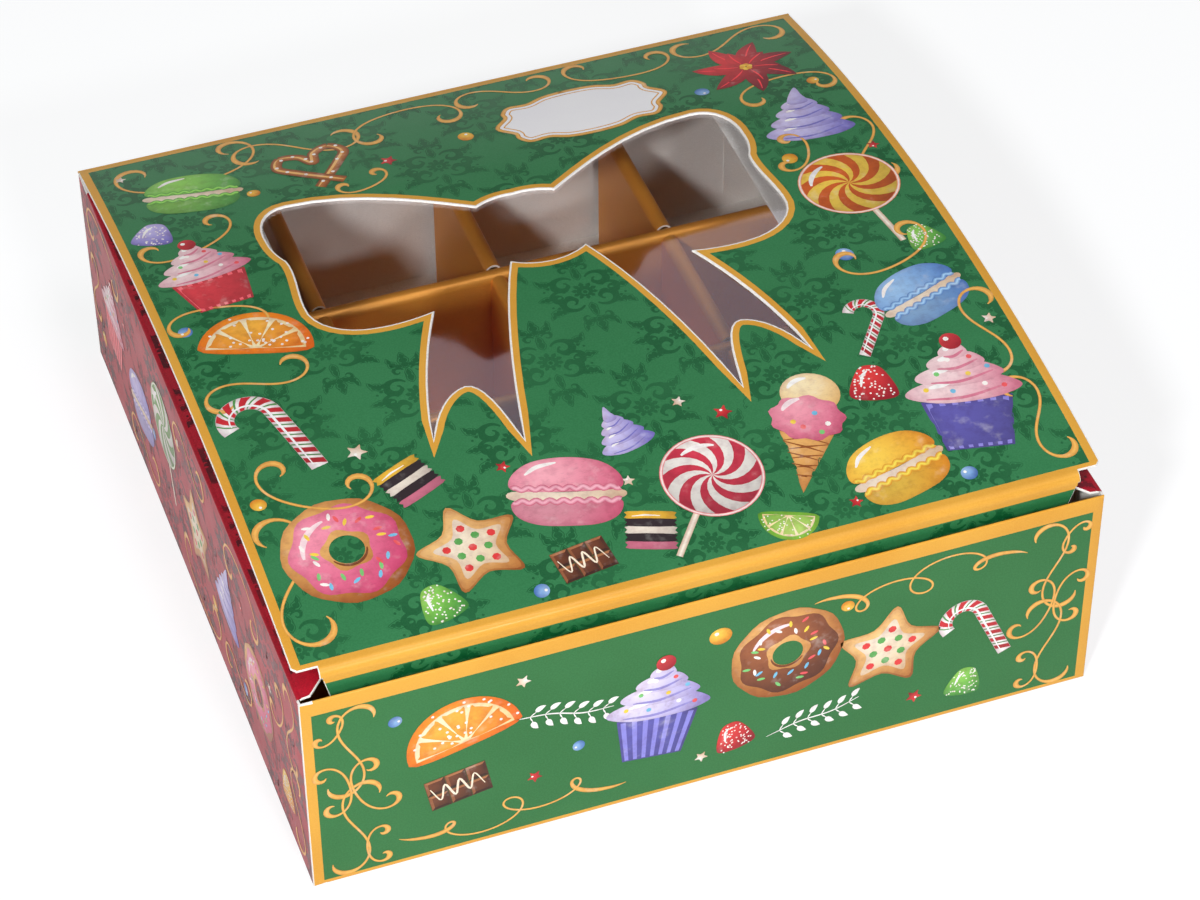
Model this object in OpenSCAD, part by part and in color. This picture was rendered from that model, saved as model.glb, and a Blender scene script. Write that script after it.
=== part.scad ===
// Folding carton for sweets. A square tray of printed board has a hinged lid with a
// bow-shaped window, a tuck flap and two dust flaps, and holds a gold card insert
// whose folded ridges part it into sixteen cells.
// Millimetres. The origin is the middle of the base, the front faces -Y and +Z is up.

/* [Carton] */
// Outer width of the carton
carton_w = 180; // [160:1:210]
// Outer depth of the carton, front wall to back wall
carton_d = 183; // [160:1:210]
// Height of the front and side walls
wall_h = 56; // [50:1:75]
// Thickness of the printed board
board_t = 0.5; // [0.4:0.05:0.7]
// How far the bead of a crease stands proud of the board
bead_proud = 0.05; // [0.02:0.01:0.1]
// Running gap round the bead of a crease that moves
crease_gap = 0.15; // [0.1:0.05:0.3]

/* [Glue tabs] */
// Reach of a corner tab along the front or back wall
tab_w = 16; // [10:1:25]
// How far a tab stops below the top of the walls
tab_drop = 2.5; // [1:0.5:6]
// How much a tab narrows, top and bottom, towards its free end
tab_taper = 4; // [1:0.5:8]

/* [Lid] */
// Height of the back crease over the side walls, so that the lid closes above them
hinge_rise = 0.5; // [0.4:0.1:1.5]
// Height of the front fold over the back crease
lid_rise = 6; // [3:0.5:10]
// Radius of the arch that the springy lid bows into
lid_arch_r = 450; // [300:10:900]
// Outer radius of the rounded front fold
fold_r = 2; // [1.5:0.1:3]
// Gap between the front wall and the front fold
tuck_gap = 1.2; // [0.8:0.1:2.5]
// Width of the notch beside the fold at each front corner
corner_notch = 5.3; // [4:0.1:8]
// Cut across each front corner of the lid
lid_corner_cut = 1; // [0.5:0.1:2]

/* [Tuck flap] */
// Length of the tuck flap below its crease
tuck_l = 18; // [12:1:22]
// How far the tuck flap leans back from upright, in degrees
tuck_lean = 7; // [5:1:12]
// Gap between the side edge of the flap and the end of the fold
tuck_side_gap = 0.6; // [0.3:0.1:1.5]
// How much the flap narrows on each side towards its free edge
tuck_taper = 4; // [2:0.5:8]
// Radius of the flap's lower corners
tuck_corner_r = 4; // [2:0.5:8]

/* [Dust flaps] */
// Reach of a dust flap from its crease
dust_w = 34; // [25:1:45]
// How far a dust flap springs up at rest, in degrees
dust_slope = 8; // [5:0.5:9]
// Gap between the front wall and the root of a dust flap
dust_root_gap = 1; // [0.6:0.1:2]
// Length of the ear that reaches the front wall
dust_ear = 2.6; // [2:0.1:4]
// Room for the tuck flap in front of a dust flap
dust_tuck_room = 3.4; // [3:0.1:5]
// How much the front edge runs back towards the free edge
dust_front_taper = 5; // [2:0.5:10]
// Gap between the back crease and the root of a dust flap
dust_back_gap = 8; // [7:0.5:12]
// How much the back edge runs forward towards the free edge
dust_back_taper = 26; // [22:1:34]
// Radius of the free corners
dust_corner_r = 4; // [2:0.5:6]

/* [Window] */
// Width of the bow-shaped window
bow_w = 116; // [90:1:124]
// Distance of the bow's knot behind the middle of the carton
bow_y = 23.5; // [15:0.5:28]
// Thickness of the clear film
film_t = 0.2; // [0.15:0.05:0.3]
// Width of film that is glued down round the bow
film_margin = 8; // [5:0.5:12]
// Thickness of the glue between board and film
glue_t = 0.05; // [0.02:0.01:0.1]

/* [Insert] */
// Thickness of the gold card
card_t = 0.5; // [0.3:0.05:0.7]
// Height of the folded ridges
ridge_h = 38; // [28:1:44]
// Width of a ridge
ridge_w = 4; // [3:0.1:6]
// Gap between the insert and the left wall
insert_left_gap = 0.9; // [0.5:0.1:6]
// Gap between the insert and the right wall
insert_right_gap = 6.1; // [0.5:0.1:8]
// Gap between the insert and the front wall
insert_front_gap = 5.8; // [5.4:0.1:8]
// Gap between the insert and the back wall
insert_back_gap = 4.2; // [1:0.1:8]

/* [Hidden] */

// Room left over for clean cuts
eps = 0.01;
// Fineness of the small and of the large circles
fine = 48;
very_fine = 720;

print_green = "#2d7d50";
print_red = "#8f1226";
border_gold = "#f0a541";
card_gold = "#c87d32";
board_white = "#f4f1ec";

// Half sizes and inner faces of the tray
half_w = carton_w / 2;
half_d = carton_d / 2;
inner_w = half_w - board_t;
inner_d = half_d - board_t;
bead_r = board_t / 2 + bead_proud;
groove_r = bead_r + crease_gap;

// The back crease and the middle of the front fold, as [y, z]
hinge = [half_d - bead_r, wall_h + hinge_rise];
fold_c = [-inner_d + tuck_gap + fold_r, hinge[1] + lid_rise - fold_r];

// The arch runs through the middle of the board at the back crease and meets the
// outside of the fold without a kink, which places its centre.
to_fold = lid_arch_r - fold_r;
to_hinge = lid_arch_r - board_t / 2;
span = norm(hinge - fold_c);
along = (hinge - fold_c) / span;
foot = (to_fold ^ 2 - to_hinge ^ 2 + span ^ 2) / (2 * span);
drop = sqrt(to_fold ^ 2 - foot ^ 2);
arch_c = fold_c + foot * along + drop * [along[1], -along[0]];
front_normal = (fold_c - arch_c) / to_fold;
back_normal = (hinge - arch_c) / to_hinge;

// Outward normal and crease of the tuck flap
tuck_normal = [-cos(tuck_lean), -sin(tuck_lean)];
tuck_crease = fold_c + (fold_r - board_t / 2) * tuck_normal;
fold_half_w = half_w - corner_notch;
tuck_half_w = fold_half_w - tuck_side_gap;

// Dust flap outline along the depth of the carton
dust_crease_x = half_w - bead_r;
dust_root_front = -inner_d + dust_root_gap;
dust_edge_front = -inner_d + tuck_gap + dust_tuck_room;
dust_root_back = hinge[0] - dust_back_gap;

// Place, size and cell pitch of the insert
insert_x = -inner_w + insert_left_gap;
insert_y = -inner_d + insert_front_gap;
insert_w = 2 * inner_w - insert_left_gap - insert_right_gap;
insert_d = 2 * inner_d - insert_front_gap - insert_back_gap;
pitch_x = insert_w / 4;
pitch_y = insert_d / 4;

// Right half of the bow round its knot, as a chain of cubic curves: a point, its two
// handles, the next point and so on. It is drawn at the width below.
bow_drawn_w = 116.4;
bow_top = 30;
bow_bottom = -67.5;
bow_half = [
    [0, 14], [4, 14.5], [7, 13.5], [9.5, 12],
    [17, 17], [33, bow_top], [50, bow_top],
    [56, bow_top], [58.5, 23.5], [58, 17],
    [58, 14], [57.5, 11], [56, 8],
    [55, 2.5], [57, -4.5], [57, -10.5],
    [57.5, -18], [51, -22.5], [44, -23],
    [40, -23.5], [35, -23], [30.5, -22],
    [35.5, -32.5], [40.5, -45.5], [43.5, -61.5],
    [41, -54.5], [36.5, -48.5], [32, -48],
    [28, -48], [26.5, -57.5], [25, bow_bottom],
    [21.5, -47.5], [15, -24.5], [9, -11],
    [6.5, -13], [3, -14], [0, -14]
];
bow_steps = 6;
bow_scale = bow_w / bow_drawn_w;

function curve(p, first, t) =
    p[first] * (1 - t) ^ 3 + 3 * p[first + 1] * t * (1 - t) ^ 2
    + 3 * p[first + 2] * t ^ 2 * (1 - t) + p[first + 3] * t ^ 3;
function flipped(points) = [for (i = [len(points) - 1:-1:0]) [-points[i][0], points[i][1]]];
function arc(centre, r, from, to, steps) =
    [for (i = [0:steps]) let (a = from + (to - from) * i / steps) centre + r * [cos(a), sin(a)]];

// Extrudes a profile drawn in Y and Z along X, or one drawn in X and Z along Y
module along_x(length) rotate([90, 0, 90]) linear_extrude(length, center = true) children();
module along_y(length) rotate([90, 0, 0]) linear_extrude(length, center = true) children();

// A quarter or less of a ring of board round centre, from one normal to the other
module ring_sector(centre, r, thickness, from, to) {
    reach = 2 * r;
    middle = (from + to) / norm(from + to);
    intersection() {
        translate(centre) difference() {
            circle(r);
            circle(r - thickness);
        }
        polygon([centre, centre + reach * from, centre + reach * middle, centre + reach * to]);
    }
}

module bow_outline() {
    curves = (len(bow_half) - 1) / 3;
    half = [for (i = [0:curves - 1], k = [0:bow_steps - 1]) curve(bow_half, 3 * i, k / bow_steps)];
    other = flipped([for (i = [1:len(half) - 1]) half[i]]);
    translate([0, bow_y]) scale(bow_scale)
        polygon(concat(half, [bow_half[len(bow_half) - 1]], other));
}

module bottom_panel() color(board_white)
    translate([-half_w, -half_d, 0]) cube([carton_w, carton_d, board_t]);

module front_wall() color(print_green)
    translate([-half_w, -half_d, board_t]) cube([carton_w, board_t, wall_h - board_t]);

// The back wall ends in the bead that the lid turns on
module back_wall() color(print_green) {
    translate([-half_w, inner_d, board_t]) cube([carton_w, board_t, hinge[1] - board_t]);
    along_x(carton_w) translate(hinge) circle(bead_r, $fn = fine);
}

// A side wall ends in the bead of its dust flap
module side_wall() color(print_red) {
    translate([-half_w, -inner_d, board_t]) cube([board_t, 2 * inner_d, wall_h - board_t]);
    translate([-dust_crease_x, (dust_root_front + dust_root_back) / 2, wall_h])
        along_y(dust_root_back - dust_root_front) circle(bead_r, $fn = fine);
}

// Glue tab of a side wall, lying behind the left end of the front wall
module corner_tab() color(board_white) {
    top = wall_h - tab_drop;
    translate([-inner_w, -inner_d + board_t, 0]) rotate([90, 0, 0]) linear_extrude(board_t)
        polygon([[0, board_t], [tab_w, board_t + tab_taper], [tab_w, top - tab_taper], [0, top]]);
}

// The lid's board follows the arch from the back crease to the front fold
module lid_panel() color(print_green) difference() {
    along_x(carton_w) difference() {
        ring_sector(arch_c, lid_arch_r, board_t, front_normal, back_normal, $fn = very_fine);
        translate(hinge) circle(groove_r, $fn = fine);
    }
    translate([0, 0, wall_h]) linear_extrude(lid_arch_r) bow_outline();
    for (side = [-1, 1]) lid_corner(side);
}

// Cuts a small triangle off a front corner of the lid
module lid_corner(side)
    translate([side * half_w, arch_c[0] + lid_arch_r * front_normal[0], wall_h])
        linear_extrude(lid_arch_r) rotate(45) square(lid_corner_cut * sqrt(2), center = true);

// Rounded fold at the front of the lid, with the bead of the tuck flap
module front_fold() color(border_gold) along_x(2 * fold_half_w) {
    ring_sector(fold_c, fold_r, board_t, front_normal, tuck_normal, $fn = fine);
    translate(tuck_crease) circle(bead_r, $fn = fine);
}

// Clear film, glued to the underside of the lid round the bow
module window_film() color("#dde6ea", 0.35) {
    r = lid_arch_r - board_t - glue_t;
    front = bow_y + bow_bottom * bow_scale - film_margin;
    back = bow_y + bow_top * bow_scale + film_margin;
    along_x(bow_w + 2 * film_margin) intersection() {
        ring_sector(arch_c, r, film_t, front_normal, back_normal, $fn = very_fine);
        translate([front, wall_h]) square([back - front, lid_arch_r]);
    }
}

module tuck_flap() color(print_green) translate([0, tuck_crease[0], tuck_crease[1]])
    difference() {
        rotate([90 + tuck_lean, 0, 0]) linear_extrude(board_t, center = true)
            mirror([0, 1]) tuck_outline();
        along_x(carton_w) circle(groove_r, $fn = fine);
    }

// The tuck flap laid flat, from its crease at y = 0 to its free edge
module tuck_outline() {
    side_angle = atan(tuck_taper / tuck_l);
    centre_y = tuck_l - tuck_corner_r;
    centre_x = tuck_half_w - tuck_taper * centre_y / tuck_l - tuck_corner_r / cos(side_angle);
    right = concat([[tuck_half_w, 0]],
        arc([centre_x, centre_y], tuck_corner_r, side_angle, 90, 8));
    polygon(concat(right, flipped(right)));
}

// Left dust flap, turned up from the side wall's crease
module dust_flap() color(print_red) translate([-dust_crease_x, 0, wall_h]) difference() {
    rotate([0, -dust_slope, 0]) linear_extrude(board_t, center = true) dust_outline();
    along_y(carton_d) circle(groove_r, $fn = fine);
}

// The dust flap laid flat, with its crease along x = 0
module dust_outline() {
    ear_cut = dust_edge_front - dust_root_front;
    front_angle = atan(dust_front_taper / (dust_w - dust_ear - ear_cut));
    back_angle = atan(dust_back_taper / dust_w);
    r = dust_corner_r;
    round_x = dust_w - r;
    front_y = dust_edge_front + dust_front_taper - r * tan(front_angle) + r / cos(front_angle);
    back_y = dust_root_back - dust_back_taper + r * tan(back_angle) - r / cos(back_angle);
    polygon(concat(
        [[0, dust_root_front], [dust_ear, dust_root_front], [dust_ear + ear_cut, dust_edge_front]],
        arc([round_x, front_y], r, front_angle - 90, 0, 8),
        arc([round_x, back_y], r, 0, 90 - back_angle, 8),
        [[0, dust_root_back]]
    ));
}

// Section of a folded ridge that stands on the line z = 0, open at the foot
module ridge_section(height) difference() {
    arch_section(ridge_w, height);
    translate([0, -eps]) arch_section(ridge_w - 2 * card_t, height - card_t + eps);
}

module arch_section(width, height) {
    translate([0, height - width / 2]) circle(width / 2, $fn = fine);
    translate([-width / 2, 0]) square([width, height - width / 2]);
}

// Front and back limits of the floor in a row of cells
function row_front(row) = insert_y + (row - 1) * pitch_y + (row > 1 ? ridge_w / 2 : 0);
function row_back(row) = insert_y + row * pitch_y - (row < 4 ? ridge_w / 2 : 0);

module row_floor(row) color(card_gold)
    translate([insert_x, row_front(row), board_t])
        cube([insert_w, row_back(row) - row_front(row), card_t]);

module row_ridge(line) color(card_gold)
    translate([insert_x + insert_w / 2, insert_y + line * pitch_y, board_t])
        along_x(insert_w) ridge_section(ridge_h);

module cross_ridge(row, line) color(card_gold)
    translate([insert_x + line * pitch_x, (row_front(row) + row_back(row)) / 2, board_t + card_t])
        along_y(row_back(row) - row_front(row)) ridge_section(ridge_h - card_t);

bottom_panel();
front_wall();
back_wall();
side_wall();  // left_wall
mirror([1, 0, 0]) side_wall();  // right_wall
corner_tab();  // corner_tab_front_left
mirror([1, 0, 0]) corner_tab();  // corner_tab_front_right
mirror([0, 1, 0]) corner_tab();  // corner_tab_back_left
rotate([0, 0, 180]) corner_tab();  // corner_tab_back_right
lid_panel();
front_fold();
window_film();
tuck_flap();
dust_flap();  // dust_flap_left
mirror([1, 0, 0]) dust_flap();  // dust_flap_right
for (row = [1:4])
    row_floor(row);
for (line = [1:3])
    row_ridge(line);
for (row = [1:4], line = [1:3])
    cross_ridge(row, line);
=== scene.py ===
# %% [markdown]
# # A folding carton for sweets
#
# The real box is one sheet of board, printed on one side, cut, creased and folded into a
# tray with a hinged lid. The lid has a window in the shape of a bow, closed by clear film,
# and a gold card insert with sixteen cells lies in the tray. The sizes and the joints come
# from the CAD frame. This script dresses that frame: it gives each panel its printed face,
# raw or wrapped edges and white back, and it draws the print as thin flat shapes.

# %% Load the frame
import math

import bmesh
import bpy
import numpy as np
from mathutils import Matrix, Vector, geometry


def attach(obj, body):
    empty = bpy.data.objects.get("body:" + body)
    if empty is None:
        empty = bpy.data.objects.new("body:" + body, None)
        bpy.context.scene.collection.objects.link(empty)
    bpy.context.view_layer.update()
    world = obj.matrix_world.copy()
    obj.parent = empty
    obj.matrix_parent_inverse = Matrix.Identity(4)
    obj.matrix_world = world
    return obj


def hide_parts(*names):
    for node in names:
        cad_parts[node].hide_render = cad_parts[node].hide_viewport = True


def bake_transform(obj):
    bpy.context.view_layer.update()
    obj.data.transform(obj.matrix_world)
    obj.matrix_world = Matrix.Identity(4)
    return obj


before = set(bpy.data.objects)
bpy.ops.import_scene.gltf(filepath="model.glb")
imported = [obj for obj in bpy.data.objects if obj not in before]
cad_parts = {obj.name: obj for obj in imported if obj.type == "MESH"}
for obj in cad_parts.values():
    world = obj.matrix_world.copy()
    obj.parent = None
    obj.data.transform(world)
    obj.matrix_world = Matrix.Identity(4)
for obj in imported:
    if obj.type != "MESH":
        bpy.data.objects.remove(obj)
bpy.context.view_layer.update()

# %% [markdown]
# ## The camera
#
# The photograph is taken from a little under 0.9 m away with a long lens, from in front, to
# the left and above. The angles below were found from the box's own corners. A camera can
# be aimed with a Track To constraint, but a matrix holds the small roll as well. Lengths of
# the lens and its sensor are in millimetres, all others in metres.

# %% Place the camera
scene = bpy.context.scene
SENSOR_WIDTH = 36


def direction(azimuth, elevation):
    """Unit vector from the object towards a camera at these angles, in degrees."""
    a, e = math.radians(azimuth), math.radians(elevation)
    return Vector((math.sin(a) * math.cos(e), -math.cos(a) * math.cos(e), math.sin(e)))


def add_camera(azimuth, elevation, roll, lens, target, distance, shift):
    back = direction(azimuth, elevation)
    right = Vector((math.cos(math.radians(azimuth)), math.sin(math.radians(azimuth)), 0))
    up = back.cross(right)
    turn = math.radians(roll)
    across = right * math.cos(turn) + up * math.sin(turn)
    upright = up * math.cos(turn) - right * math.sin(turn)
    camera = bpy.data.objects.new("camera", bpy.data.cameras.new("camera"))
    scene.collection.objects.link(camera)
    camera.data.lens, camera.data.sensor_width = lens, SENSOR_WIDTH
    axes = Matrix((across, upright, back)).transposed().to_4x4()
    place = Vector(target) + back * distance + right * shift[0] + up * shift[1]
    camera.matrix_world = Matrix.Translation(place) @ axes
    scene.camera = camera
    return camera


camera = add_camera(azimuth=-19.472, elevation=42.993, roll=-0.4145, lens=115.7,
                    target=(0, 0, 0.0279), distance=0.8868, shift=(0.0072, -0.00716))
print("Camera at", [round(value, 4) for value in camera.matrix_world.translation])

# %% [markdown]
# ## Node fields
#
# Materials are node trees, and node trees are long to write by hand. A socket wrapped in a
# small class can be added, multiplied and compared like a number, so a pattern reads as a
# formula. Every other node comes from one method, which first applies the node's settings
# and then fills or links its sockets. Sockets go by name, or by number where several of a
# node's sockets share one name, as in the mix nodes.

# %% Wrap a socket
MM, MICRON = 0.001, 0.000001
MIX_COLOURS, MIX_COLOUR_OUT = (6, 7), 2


class Field:
    """A socket of a node tree that can be used like a number in a formula."""

    def __init__(self, socket):
        self.socket = socket

    def node(self, kind, settings=None, sockets=None, out=0):
        """Adds a node to the same tree: its settings first, then its sockets."""
        made = self.socket.id_data.nodes.new("ShaderNode" + kind)
        for name, value in (settings or {}).items():
            setattr(made, name, value)
        for name, value in (sockets or {}).items():
            if isinstance(value, Field):
                made.id_data.links.new(value.socket, made.inputs[name])
            else:
                made.inputs[name].default_value = value
        return Field(made.outputs[out])

    def math(self, operation, *values):
        return self.node("Math", {"operation": operation}, dict(enumerate(values)))

    def __add__(self, other):
        return self.math("ADD", self, other)

    def __radd__(self, other):
        return self.math("ADD", other, self)

    def __sub__(self, other):
        return self.math("SUBTRACT", self, other)

    def __rsub__(self, other):
        return self.math("SUBTRACT", other, self)

    def __mul__(self, other):
        return self.math("MULTIPLY", self, other)

    def __rmul__(self, other):
        return self.math("MULTIPLY", other, self)

    def __abs__(self):
        return self.math("ABSOLUTE", self)

    def __gt__(self, other):
        return self.math("GREATER_THAN", self, other)

    def ramp(self, low, high):
        """0 below low, 1 above high and smooth between them."""
        settings = {"interpolation_type": "SMOOTHSTEP"}
        return self.node("MapRange", settings, {"Value": self, "From Min": low, "From Max": high})

    def stretched(self, x, y, z):
        """The places that this field holds, scaled along each axis."""
        return self.node("Mapping", None, {"Vector": self, "Scale": (x, y, z)})

    def noise(self, scale, detail=2.0, rough=0.5):
        """Noise over the places that this field holds, in cells per metre."""
        sockets = {"Vector": self, "Scale": scale, "Detail": detail, "Roughness": rough}
        return self.node("TexNoise", None, sockets)

    def mix(self, first, second, blend="MIX"):
        """Colour first where this field is 0 and second where it is 1."""
        settings = {"data_type": "RGBA", "blend_type": blend}
        sockets = dict(zip((0, *MIX_COLOURS), (self, first, second)))
        return self.node("Mix", settings, sockets, MIX_COLOUR_OUT)

    def bump(self, height, strength=1.0):
        """A normal that tilts as this field rises by height, in metres."""
        return self.node("Bump", None, {"Height": self, "Distance": height, "Strength": strength})


print("Field has", len([name for name in vars(Field) if not name.startswith("__")]), "methods")

# %% Start and wire a material
def to_linear(tones):
    """Screen values, 0 to 255, as the linear values from 0 to 1 that shaders use."""
    share = np.asarray(tones) / 255
    return np.where(share <= 0.04045, share / 12.92, ((share + 0.055) / 1.055) ** 2.4)


def linear(red, green, blue):
    """A screen colour as an opaque linear colour."""
    return [*to_linear((red, green, blue)).tolist(), 1.0]


def new_finish(name, **constants):
    """A material, its Principled shader's node and the places on a piece, in metres."""
    material = bpy.data.materials.new(name)
    material.use_nodes = True
    shader = material.node_tree.nodes["Principled BSDF"]
    for socket, value in constants.items():
        shader.inputs[socket.replace("_", " ")].default_value = value
    coordinates = material.node_tree.nodes.new("ShaderNodeTexCoord")
    return material, shader, Field(coordinates.outputs["Object"])


def wire(shader, **fields):
    for socket, field in fields.items():
        target = shader.inputs[socket.replace("_", " ")]
        shader.id_data.links.new(field.socket, target)


print("Middle grey is", round(linear(128, 128, 128)[0], 3), "in linear light")

# %% [markdown]
# ## Studio light
#
# A product photograph like this one has a soft, even light and a white ground. The world
# lights the box at an eighth of its strength, and three lamps add the rest: a broad one
# overhead, and two small ones low in front, which shine through the window and throw the
# bow's light on to the back wall. What the camera or a mirror ray sees beyond the floor is
# plain white, but for a dark card high up behind the box and a grey one over it.
# Photographers hang such cards so that glossy prints and films keep their colour.

# %% Light the world
LAMP_DISTANCE = 1.5


def light_world(ambient):
    world = bpy.data.worlds.new("studio")
    scene.world = world
    world.use_nodes = True
    background = world.node_tree.nodes["Background"]
    rays = world.node_tree.nodes.new("ShaderNodeLightPath")
    seen = Field(rays.outputs["Is Camera Ray"]) + Field(rays.outputs["Is Glossy Ray"])
    seen = seen + Field(rays.outputs["Is Transmission Ray"])
    strength = seen.ramp(0, 1) * (1 - ambient) + ambient
    background.inputs["Color"].default_value = (1, 1, 1, 1)
    world.node_tree.links.new(strength.socket, background.inputs["Strength"])


def add_lamp(name, azimuth, elevation, size, power):
    """A round lamp that shines at the middle of the base. Its size is its width in metres."""
    lamp = bpy.data.objects.new(name, bpy.data.lights.new(name, "AREA"))
    scene.collection.objects.link(lamp)
    lamp.data.shape, lamp.data.size, lamp.data.energy = "DISK", size, power
    towards = direction(azimuth, elevation)
    lamp.location = towards * LAMP_DISTANCE
    lamp.rotation_euler = towards.to_track_quat("Z", "Y").to_euler()
    return lamp


light_world(ambient=0.12)
key = add_lamp("key", azimuth=20, elevation=68, size=0.5, power=4.6)
add_lamp("low_lamp", azimuth=0, elevation=32, size=0.13, power=6.2)
add_lamp("side_lamp", azimuth=-36, elevation=37, size=0.13, power=14.0)
scene.view_settings.view_transform = "Standard"
print("Key lamp at", [round(value, 2) for value in key.location])

# %% Set up the floor and the cards
FLOOR_REACH, FLOOR_Z = 4.0, -0.2 * MM
DARK_TOPS = [(azimuth, 35) for azimuth in (110, 125, 140, 150, 157)]
DARK_TOPS += [(160, 36.5), (161.5, 43.4), (163, 45), (165, 42), (166.5, 41), (169, 40.6),
              (170.5, 44), (173, 46), (180, 46)]
GREY_TOPS = [(azimuth, 84) for azimuth in range(100, 221, 10)]


def stage_piece(name, points, faces, material):
    """A piece of the studio, which isn't part of the object."""
    mesh = bpy.data.meshes.new(name)
    mesh.from_pydata(points, [], faces)
    mesh.materials.append(material)
    made = bpy.data.objects.new(name, mesh)
    scene.collection.objects.link(made)
    return made


def add_floor():
    """White floor: it shows a faint shadow to the camera and reflects well on to the box."""
    material, shader, _ = new_finish("floor", Roughness=1.0, Specular_IOR_Level=0,
                                     Emission_Strength=1.0)
    rays = material.node_tree.nodes.new("ShaderNodeLightPath").outputs
    seen, mirrored = Field(rays["Is Camera Ray"]), Field(rays["Is Glossy Ray"])
    wire(shader, Base_Color=seen.mix((0.82, 0.82, 0.83, 1), (0.32, 0.33, 0.34, 1)),
         Emission_Color=seen * 0.75 + mirrored * 0.27)
    corners = [(x * FLOOR_REACH, y * FLOOR_REACH, FLOOR_Z)
               for x, y in ((-1, -1), (1, -1), (1, 1), (-1, 1))]
    stage_piece("floor", corners, [(0, 1, 2, 3)], material)


def add_card(name, low, tops, distance, tone):
    """A card behind the box that only mirror rays see. Its top is an uneven line, given as
    pairs of azimuth and elevation."""
    material = new_finish(name, Roughness=1.0, Specular_IOR_Level=0, Emission_Strength=1.0,
                          Base_Color=(0.01, 0.01, 0.01, 1), Emission_Color=(*tone, 1))[0]
    points = [tuple(direction(a, e) * distance) for a, top in tops for e in (low, top)]
    faces = [(2 * i, 2 * i + 2, 2 * i + 3, 2 * i + 1) for i in range(len(tops) - 1)]
    card = stage_piece(name, points, faces, material)
    card.visible_camera = card.visible_diffuse = False
    card.visible_shadow = card.visible_transmission = False
    return card


add_floor()
cards = [add_card("dark_card", low=21, tops=DARK_TOPS, distance=2.2, tone=(0.01, 0.01, 0.012)),
         add_card("grey_card", low=30, tops=GREY_TOPS, distance=2.6, tone=(0.62, 0.6, 0.66))]
print("Cards:", [card.name for card in cards])

# %% [markdown]
# ## Printed board
#
# The board is a white pressed fibre with a printed and varnished face. A print is never one
# even tone: it has a fine grain from its dots and slow drifts from the inking, and the
# varnish on it has a faint orange-peel bump. One function varnishes everything that is
# printed, and another makes every printed ground.

# %% Make the printed grounds
SHEEN, GRAIN_SCALE, PEEL_HEIGHT = 0.3, 2600, 12 * MICRON


def varnished(name, coat, sheen=SHEEN):
    """A satin finish under a thin coat. Its roughness drifts from place to place."""
    material, shader, places = new_finish(name, Coat_Weight=coat, Coat_Roughness=0.2,
                                          Specular_IOR_Level=sheen)
    wire(shader, Roughness=0.36 + 0.1 * places.noise(240, 2))
    return material, shader, places


def printed(name, tone, darker, grain_depth=0.55, sheen=SHEEN):
    """Varnished print: two near tones mixed by a fine grain, with a slow drift over both."""
    material, shader, places = varnished(name, 0.08, sheen)
    grain = places.noise(GRAIN_SCALE, 2).ramp(0.36, 0.64)
    drift = places.noise(38, 3).ramp(0.3, 0.7)
    colour = (grain * grain_depth + drift * (1 - grain_depth)).mix(linear(*darker), linear(*tone))
    peel = places.noise(700, 2) + places.noise(90, 1) * 3
    wire(shader, Base_Color=colour, Normal=peel.bump(PEEL_HEIGHT, 0.5))
    return material


green_print = printed("green_print", (50, 124, 76), (38, 112, 64))
front_green = printed("front_green", (48, 116, 62), (36, 104, 50))
red_print = printed("red_print", (184, 8, 38), (146, 3, 28), sheen=0.34)
gold_print = printed("gold_print", (226, 168, 64), (216, 153, 50), grain_depth=0.3)
label_print = printed("label_print", (254, 253, 255), (248, 246, 251), grain_depth=0.3)
print("Printed grounds:", [m.name for m in (green_print, front_green, red_print, gold_print)])

# %% Make the bare board
FIBRE_HEIGHT = 30 * MICRON


def bare_board():
    """White fibre board: matt, with short fibres that show at its cut edges."""
    material, shader, places = new_finish("white_board")
    fibre = places.stretched(1, 1, 3).noise(2200, 3)
    cloud = places.noise(120, 3)
    share = fibre.ramp(0.3, 0.7) * 0.6 + cloud * 0.4
    wire(shader, Base_Color=share.mix(linear(226, 221, 214), linear(250, 248, 244)),
         Roughness=0.7 + 0.2 * cloud, Normal=fibre.bump(FIBRE_HEIGHT, 0.7))
    return material


white_board = bare_board()
print("Bare board nodes:", len(white_board.node_tree.nodes))

# %% [markdown]
# ## Damask ink
#
# The grounds carry a damask, leaves and petals in a darker tone of the same colour. On the
# real box it is stronger in some places than in others. The leaves are drawn later as
# shapes; this finish lets a little of the ground show through them, with the same grain.

# %% Make the damask inks
INK_COAT = 0.15


def damask_ink(name, dark, ground):
    """The dark ink of the leaves, which never covers the ground quite evenly."""
    material, shader, places = varnished(name, INK_COAT)
    grain = places.noise(GRAIN_SCALE, 2).ramp(0.25, 0.75)
    strong = places.noise(46, 2).ramp(0.38, 0.6) * 0.3 + 0.7
    wire(shader, Base_Color=(strong * (0.8 + 0.2 * grain)).mix(linear(*ground), linear(*dark)))
    return material


green_damask = damask_ink("green_damask", (0, 82, 40), (44, 118, 70))
red_damask = damask_ink("red_damask", (54, 0, 10), (165, 8, 36))
print("Damask inks:", green_damask.name, red_damask.name)

# %% [markdown]
# ## Paint for the motifs
#
# The sweets and the scrolls on the real print look like watercolour: tones run into each
# other, pool at the rim of a shape and leave pale spots. Each shape carries its tone and
# its nearness to a rim as attributes on its points. One finish reads both and adds washes
# of noise, so that all the shapes need a single material.

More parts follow.
